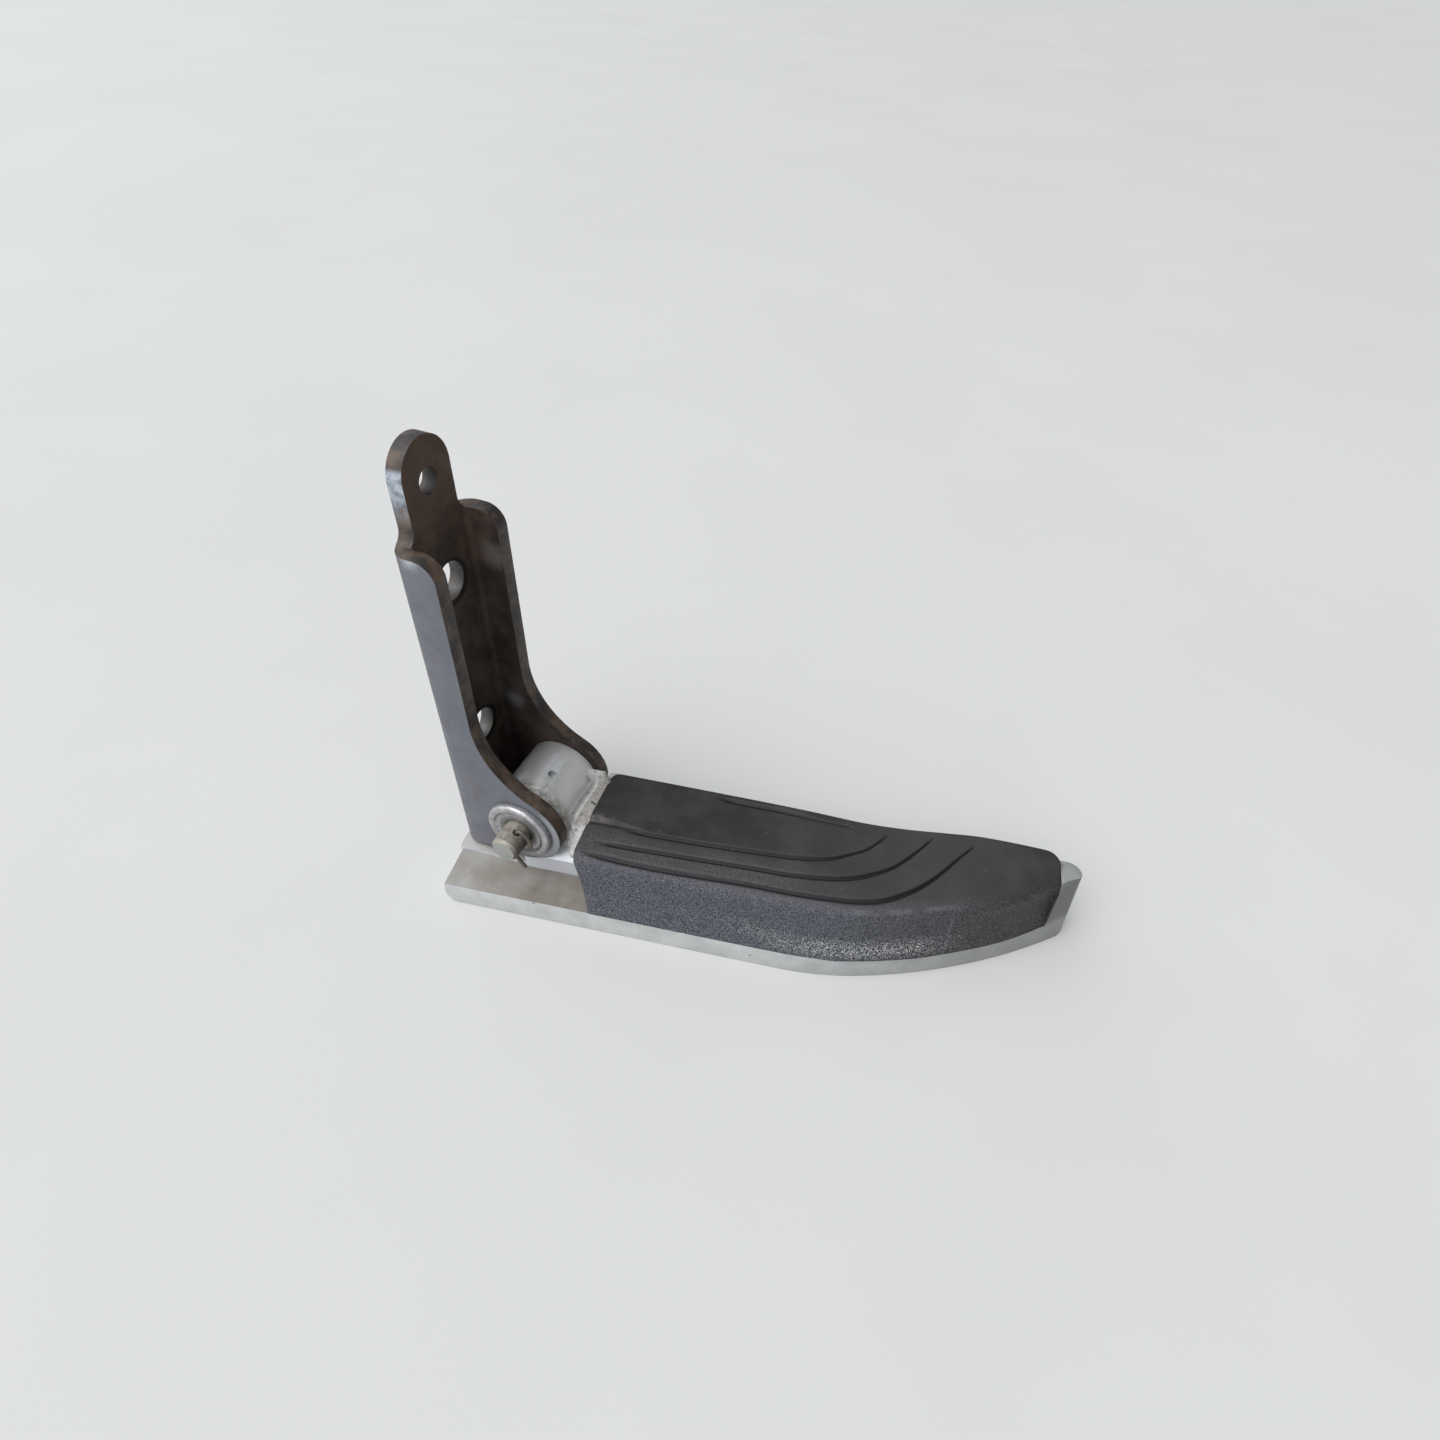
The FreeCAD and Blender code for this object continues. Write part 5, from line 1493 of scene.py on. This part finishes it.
@dataclass(frozen=True)
class NeckSaddle:
    """The top of the casting's neck between the hub and the pad, as a height over its plan."""

    hub_radius: float = 11.0
    hub_overlap: float = 1.5
    ear_reach: float = 12.75
    outer_edge: float = 16.6
    outer_skew: float = 0.095
    near_edge: float = -13.4
    near_cheek: float = -11.6
    far_cheek: float = 7.2
    far_edge: float = 11.3
    cheek_gap: float = 0.05
    level: float = 1.1
    rim: float = 0.2
    rim_across: Range = (5.5, 8.0)
    far_drop: float = 0.7
    far_round: float = 1.2
    fillet: float = 1.1
    brow: float = -7.5
    brow_round: float = 1.5
    slope: float = 1.6
    rib_height: float = 5.7
    rib_fall: float = 4.4
    rib_end: Range = (14.0, 16.0)
    rib_side: Range = (4.9, 6.2)
    fold_centre: tuple[float, float] = (36.97, -9.63)
    fold_radius: float = 25.6
    skirt_height: float = -5.5
    skirt_drop: float = 2.5
    near_steps: int = 10
    middle_steps: int = 60
    far_steps: int = 16
    rows: int = 40
    smooth_angle: float = 40.0

    def between_cheeks(self, across: float) -> bool:
        """Tell whether a place lies between the bracket's ears."""
        return self.near_cheek <= across <= self.far_cheek

    def start(self, across: float) -> float:
        """Give where the neck starts: inside the hub, or clear of the ears beside it."""
        reach = self.hub_radius - self.hub_overlap if self.between_cheeks(across) else self.ear_reach
        return (reach + across * math.sin(PEG_YAW)) / math.cos(PEG_YAW)

    def height(self, along: float, across: float) -> float:
        """Give the height of the neck's top at a place.

        Args:
            along: The place along the footrest.
            across: The place across it.

        Returns:
            The height, outside the cheeks low enough to clear the flange when the footrest is folded.
        """
        down = self.brow - across
        top = self.level - 0.5 * self.slope * (math.hypot(down, self.brow_round) + down)
        top += self.rim * smooth_step(across, *self.rim_across)
        top -= self.far_drop * smooth_step(across, self.far_edge - self.far_round, self.far_edge)
        reach = along * math.cos(PEG_YAW) - across * math.sin(PEG_YAW)
        if self.between_cheeks(across):
            into = min(max(self.hub_radius + self.fillet - reach, 0.0), self.fillet)
            top += self.fillet - math.sqrt(self.fillet ** 2 - into ** 2)
            ridge = self.rib_height - self.rib_fall * smooth_step(reach, *self.rib_end)
            return top + (ridge - top) * smooth_step(across, *self.rib_side)
        limit = math.sqrt(self.fold_radius ** 2 - (self.fold_centre[0] - reach) ** 2)
        return min(top, self.fold_centre[1] + limit)

    def columns(self) -> list[float]:
        """List the places across the neck, close together where its start jumps.

        Returns:
            The places.
        """
        near = spread(self.near_edge, self.near_cheek - self.cheek_gap, self.near_steps)
        middle = spread(self.near_cheek, self.far_cheek, self.middle_steps)
        far = spread(self.far_cheek + self.cheek_gap, self.far_edge, self.far_steps)
        return near + middle + far

    def build(self) -> bpy.types.Object:
        """Make the neck's mesh, closed by a skirt that ends inside the casting.

        Returns:
            The neck.
        """
        places = self.columns()
        last_column, last_row = len(places) + 1, self.rows + 2
        deselect_all()
        bpy.ops.mesh.primitive_grid_add(x_subdivisions=last_column, y_subdivisions=last_row, size=1)
        neck = bpy.context.object
        neck.name = "cast_neck"
        for vertex in neck.data.vertices:
            column = round((vertex.co.x + 0.5) * last_column)
            row = round((vertex.co.y + 0.5) * last_row)
            across = places[min(max(column - 1, 0), len(places) - 1)]
            share = min(max(row - 1, 0), self.rows) / self.rows
            first = self.start(across)
            along = first + share * (self.outer_edge + self.outer_skew * across - first)
            height = self.height(along, across)
            if column in (0, last_column) or row in (0, last_row):
                height = min(self.skirt_height, height - self.skirt_drop)
            vertex.co = peg_point(along, across, height)
        make_active(neck)
        bpy.ops.object.mode_set(mode="EDIT")
        bpy.ops.mesh.select_all(action="DESELECT")
        bpy.ops.mesh.select_mode(type="EDGE")
        bpy.ops.mesh.select_non_manifold()
        bpy.ops.mesh.edge_face_add()
        bpy.ops.mesh.select_all(action="SELECT")
        bpy.ops.mesh.normals_make_consistent(inside=False)
        bpy.ops.object.mode_set(mode="OBJECT")
        bpy.ops.object.shade_smooth_by_angle(angle=math.radians(self.smooth_angle))
        return neck

    @staticmethod
    def dress(neck: bpy.types.Object) -> None:
        """Give the neck its dusty finish, on the footrest.

        Args:
            neck: The neck.
        """
        neck.data.materials.append(NeckDust("neck_dust").material())
        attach(neck, Body.FOOTREST.value)
        report(neck)


@dataclass(frozen=True)
class Piece:
    """One piece made from a CAD node: its rounding, with angles in degrees, its body, slot and finishes."""

    node: str
    name: str
    rounding: float
    body: Body
    slot: str
    finishes: tuple[Finish, ...]
    segments: int = 3
    flat_angle: float = 0.6
    sharp_angle: float = 35.0
    smooth_angle: float = 30.0

    def build(self, nodes: dict) -> None:
        """Make the piece and put it in its node's place.

        Args:
            nodes: The CAD nodes by name.
        """
        piece = self.softened_copy(nodes[self.node])
        for finish in self.finishes:
            piece.data.materials.append(finish.material())
        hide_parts(self.node)
        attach(piece, self.body.value)
        self.shape(piece)
        report(piece)

    def softened_copy(self, node: bpy.types.Object) -> bpy.types.Object:
        """Copy a CAD node's mesh, merge it and round its sharp edges.

        Args:
            node: The CAD node.

        Returns:
            The new piece, at the origin, with its rounded edges in its second material slot.
        """
        make_active(node)
        bpy.ops.object.duplicate()
        piece = bpy.context.object
        piece.name = self.name
        bpy.ops.object.parent_clear(type="CLEAR_KEEP_TRANSFORM")
        bpy.ops.object.mode_set(mode="EDIT")
        bpy.ops.mesh.select_all(action="SELECT")
        bpy.ops.mesh.remove_doubles(threshold=MERGE)
        bpy.ops.mesh.dissolve_limited(angle_limit=math.radians(self.flat_angle))
        bpy.ops.object.mode_set(mode="OBJECT")
        piece.data.materials.clear()
        bevel = piece.modifiers.new("rounding", "BEVEL")
        bevel.width = self.rounding * MM
        bevel.segments = self.segments
        bevel.limit_method = "ANGLE"
        bevel.angle_limit = math.radians(self.sharp_angle)
        bevel.use_clamp_overlap = True
        bevel.material = 1
        bpy.ops.object.modifier_apply(modifier=bevel.name)
        bpy.ops.object.shade_smooth_by_angle(angle=math.radians(self.smooth_angle))
        return piece

    def shape(self, piece: bpy.types.Object) -> None:
        """Leave a plain piece as its rounding made it."""


class BracketPart(Enum):
    """The bracket's faces by their finish, in slot order."""

    OUTER = 0
    EDGE = 1
    INNER = 2
    CUT = 3
    HOLE = 4


@dataclass(frozen=True)
class PressedBracket(Piece):
    """The bracket, whose faces differ in finish by where they lie and which way they face."""

    hole_reach: float = 5.3
    hole_facing: float = 0.8
    bend_start: float = 5.5
    bend_side: float = 8.7
    bend_middle: float = 4.2
    bend_facing: float = 0.5
    flange_top: float = 39.0
    facing: float = 0.7
    outer_side: float = 13.6
    inner_web: float = 4.6
    inner_side: Range = (9.6, 11.0)

    def shape(self, piece: bpy.types.Object) -> None:
        """Sort the faces by finish, apart from the rounded edges.

        Args:
            piece: The bracket.
        """
        for face in piece.data.polygons:
            if face.material_index != BracketPart.EDGE.value:
                face.material_index = self.part(face.center / MM, face.normal).value

    def part(self, centre: Vector, normal: Vector) -> BracketPart:
        """Tell which part of the bracket a face belongs to.

        Args:
            centre: The face's middle.
            normal: The face's direction.

        Returns:
            The part.
        """
        side = abs(centre.y)
        for height in BOLT_HEIGHTS:
            if math.hypot(centre.y, centre.z - height) < self.hole_reach and abs(normal.x) < self.hole_facing:
                return BracketPart.HOLE
        if centre.x < self.bend_start and side > self.bend_side and centre.z < self.flange_top:
            bend = math.hypot(self.bend_start - centre.x, side - self.bend_side)
            if abs(normal.z) < self.bend_facing:
                return BracketPart.OUTER if bend > self.bend_middle else BracketPart.INNER
        if normal.x < -self.facing or (side > self.outer_side and abs(normal.y) > self.facing):
            return BracketPart.OUTER
        if normal.x > self.facing and centre.x < self.inner_web:
            return BracketPart.INNER
        low, high = self.inner_side
        if abs(normal.y) > self.facing and low < side < high and centre.x > SHEET:
            return BracketPart.INNER
        return BracketPart.CUT


@dataclass(frozen=True)
class CastBlade(Piece):
    """The casting, whose nose leans in on its near side."""

    nose_start: float = 143.0
    nose_foot: float = 0.1
    nose_lean: float = 2.0
    lean_across: Range = (1.5, 8.0)
    wall_end: float = 146.4

    def shape(self, piece: bpy.types.Object) -> None:
        """Lean the nose in on its near side, and its inner wall out at the foot, as the pad's end does.

        Args:
            piece: The casting.
        """
        for vertex in piece.data.vertices:
            spot = vertex.co / MM - PIVOT
            along = spot.x * math.cos(PEG_YAW) + spot.y * math.sin(PEG_YAW)
            across = spot.y * math.cos(PEG_YAW) - spot.x * math.sin(PEG_YAW)
            if along < self.nose_start or spot.z < SHELF + self.nose_foot:
                continue
            lift = (spot.z - SHELF) / -SHELF
            across += self.nose_lean * lift * (1 - smooth_step(across, *self.lean_across))
            if along < self.wall_end:
                along += RubberPad.outer_lean * (1 - lift)
            vertex.co = peg_point(along, across, spot.z)


@dataclass(frozen=True)
class PhotoStage:
    """Floor, light and camera that show the part as the photograph does.

    Places and the floor's size are in metres, turns in degrees, and the lens and its sensor in mm.
    """

    camera_place: Place = (0.123844, -0.133419, 0.144213)
    camera_turn: Place = (45.8343, -2.0652, 22.3487)
    lens: float = 21.25
    sensor: float = 36.0
    clip_start: float = 0.01
    floor_size: float = 40.0
    window: Place = (-0.70, -0.58, 0.42)
    window_edge: Range = (-0.45, 0.85)
    dim: Color = (0.10, 0.10, 0.10)
    bright: Color = (1.45, 1.50, 1.58)
    sun_turn: Place = (32.0, 0.0, -35.0)
    sun_spread: float = 50.0
    sun_power: float = 1.5

    def build(self, floor_height: float) -> None:
        """Make the floor, the lights and the camera.

        Args:
            floor_height: The height of the floor in metres.
        """
        deselect_all()
        bpy.ops.mesh.primitive_plane_add(size=self.floor_size, location=(0, 0, floor_height))
        floor = bpy.context.object
        floor.name = "floor"
        floor.data.materials.append(FloorFinish("pale_floor").material())
        floor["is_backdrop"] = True
        self.light_room()
        bpy.context.scene.view_settings.view_transform = "Standard"
        turn = [math.radians(angle) for angle in self.camera_turn]
        bpy.ops.object.camera_add(location=self.camera_place, rotation=turn)
        camera = bpy.context.object
        camera.data.sensor_width = self.sensor
        camera.data.sensor_fit = "HORIZONTAL"
        camera.data.lens = self.lens
        camera.data.clip_start = self.clip_start
        bpy.context.scene.camera = camera

    def light_room(self) -> None:
        """Light the part from a bright side of the room and softly from above."""
        world = bpy.context.scene.world or bpy.data.worlds.new("world")
        bpy.context.scene.world = world
        world.use_nodes = True
        sheet = Sheet(world.node_tree)
        way = sheet.add("ShaderNodeTexCoord", {}).outputs["Generated"]
        toward = sheet.add("ShaderNodeVectorMath", {0: way, 1: self.window}, operation="DOT_PRODUCT")
        lit = sheet.ramp(toward.outputs["Value"], *self.window_edge)
        color = sheet.mix(lit, self.dim, self.bright)
        background = world.node_tree.nodes["Background"]
        world.node_tree.links.new(color, background.inputs["Color"])
        background.inputs["Strength"].default_value = 1.0
        deselect_all()
        bpy.ops.object.light_add(type="SUN", rotation=[math.radians(angle) for angle in self.sun_turn])
        lamp = bpy.context.object
        lamp.name = "soft_daylight"
        lamp.data.angle = math.radians(self.sun_spread)
        lamp.data.energy = self.sun_power


def report(piece: bpy.types.Object) -> None:
    """Log one finished piece."""
    LOG.info("%s: %d faces", piece.name, len(piece.data.polygons))


def repaint(node: bpy.types.Object, finish: Finish) -> None:
    """Give a CAD node that keeps its shape a better finish.

    Args:
        node: The CAD node.
        finish: The finish.
    """
    node.data.materials.clear()
    node.data.materials.append(finish.material())
    report(node)


def cad_pieces() -> tuple[Piece, ...]:
    """List the pieces that are made from CAD nodes.

    Returns:
        The pieces, in the order in which they are built.
    """
    zinc = WasherSteel("zinc_steel", color=(0.47, 0.47, 0.48), grime_share=0.4, roughness=0.32)
    grimy = PinSteel("pin_steel", color=(0.31, 0.285, 0.24), grime_share=0.9, roughness=0.45, metallic=0.4)
    # painted highlight on the rounded rims of the pin and the washer, partly worn bright steel
    rim = DullSteel("worn_rim_highlight", color=(0.95, 0.95, 0.93), grime_share=0.05, roughness=0.33, metallic=0.2)
    bare = DullSteel("bare_hole", color=(0.085, 0.085, 0.086), grime_share=0.6)
    bracket = (OuterPaint("bracket_paint"), CutEdge("worn_edge_highlight", base_wear_and_highlight=0.75), InnerPaint("inner_paint"),
               CutEdge("cut_edge"), bare)
    blade = (CastSilver("cast_silver"), CastSilver("bright_edge", edge_highlight_share=0.8))
    return (
        PressedBracket("mounting_bracket", "pressed_bracket", 0.45, Body.BRACKET, "bracket_paint", bracket),
        CastBlade("footrest_casting", "cast_blade", 0.7, Body.FOOTREST, "cast_silver", blade),
        Piece("pivot_pin", "clevis_pin", 0.3, Body.BRACKET, "zinc_steel", (grimy, rim)),
        Piece("pin_washer", "flat_washer", 0.3, Body.BRACKET, "zinc_steel", (zinc, rim)),
    )


def main() -> None:
    """Build every piece around the CAD model and report it."""
    logging.basicConfig(level=logging.INFO)
    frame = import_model()
    cad_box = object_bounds()
    nodes = frame["nodes"]
    SharedEffects().build()
    bright = DullSteel("bright_steel", color=(0.6, 0.6, 0.6), grime_share=0.15, roughness=0.3, metallic=1.0)
    wire = DullSteel("wire_steel", color=(0.14, 0.125, 0.11), grime_share=0.7, roughness=0.45, metallic=0.6)
    repaint(nodes["detent_ball"], bright)
    repaint(nodes["detent_spring"], bright)
    for piece in cad_pieces():
        piece.build(nodes)
    repaint(nodes["split_pin"], wire)
    pad = RubberPad()
    pad.dress(pad.build())
    neck = NeckSaddle()
    neck.dress(neck.build())
    PhotoStage().build(cad_box[0][2])


if __name__ == "__main__":
    main()
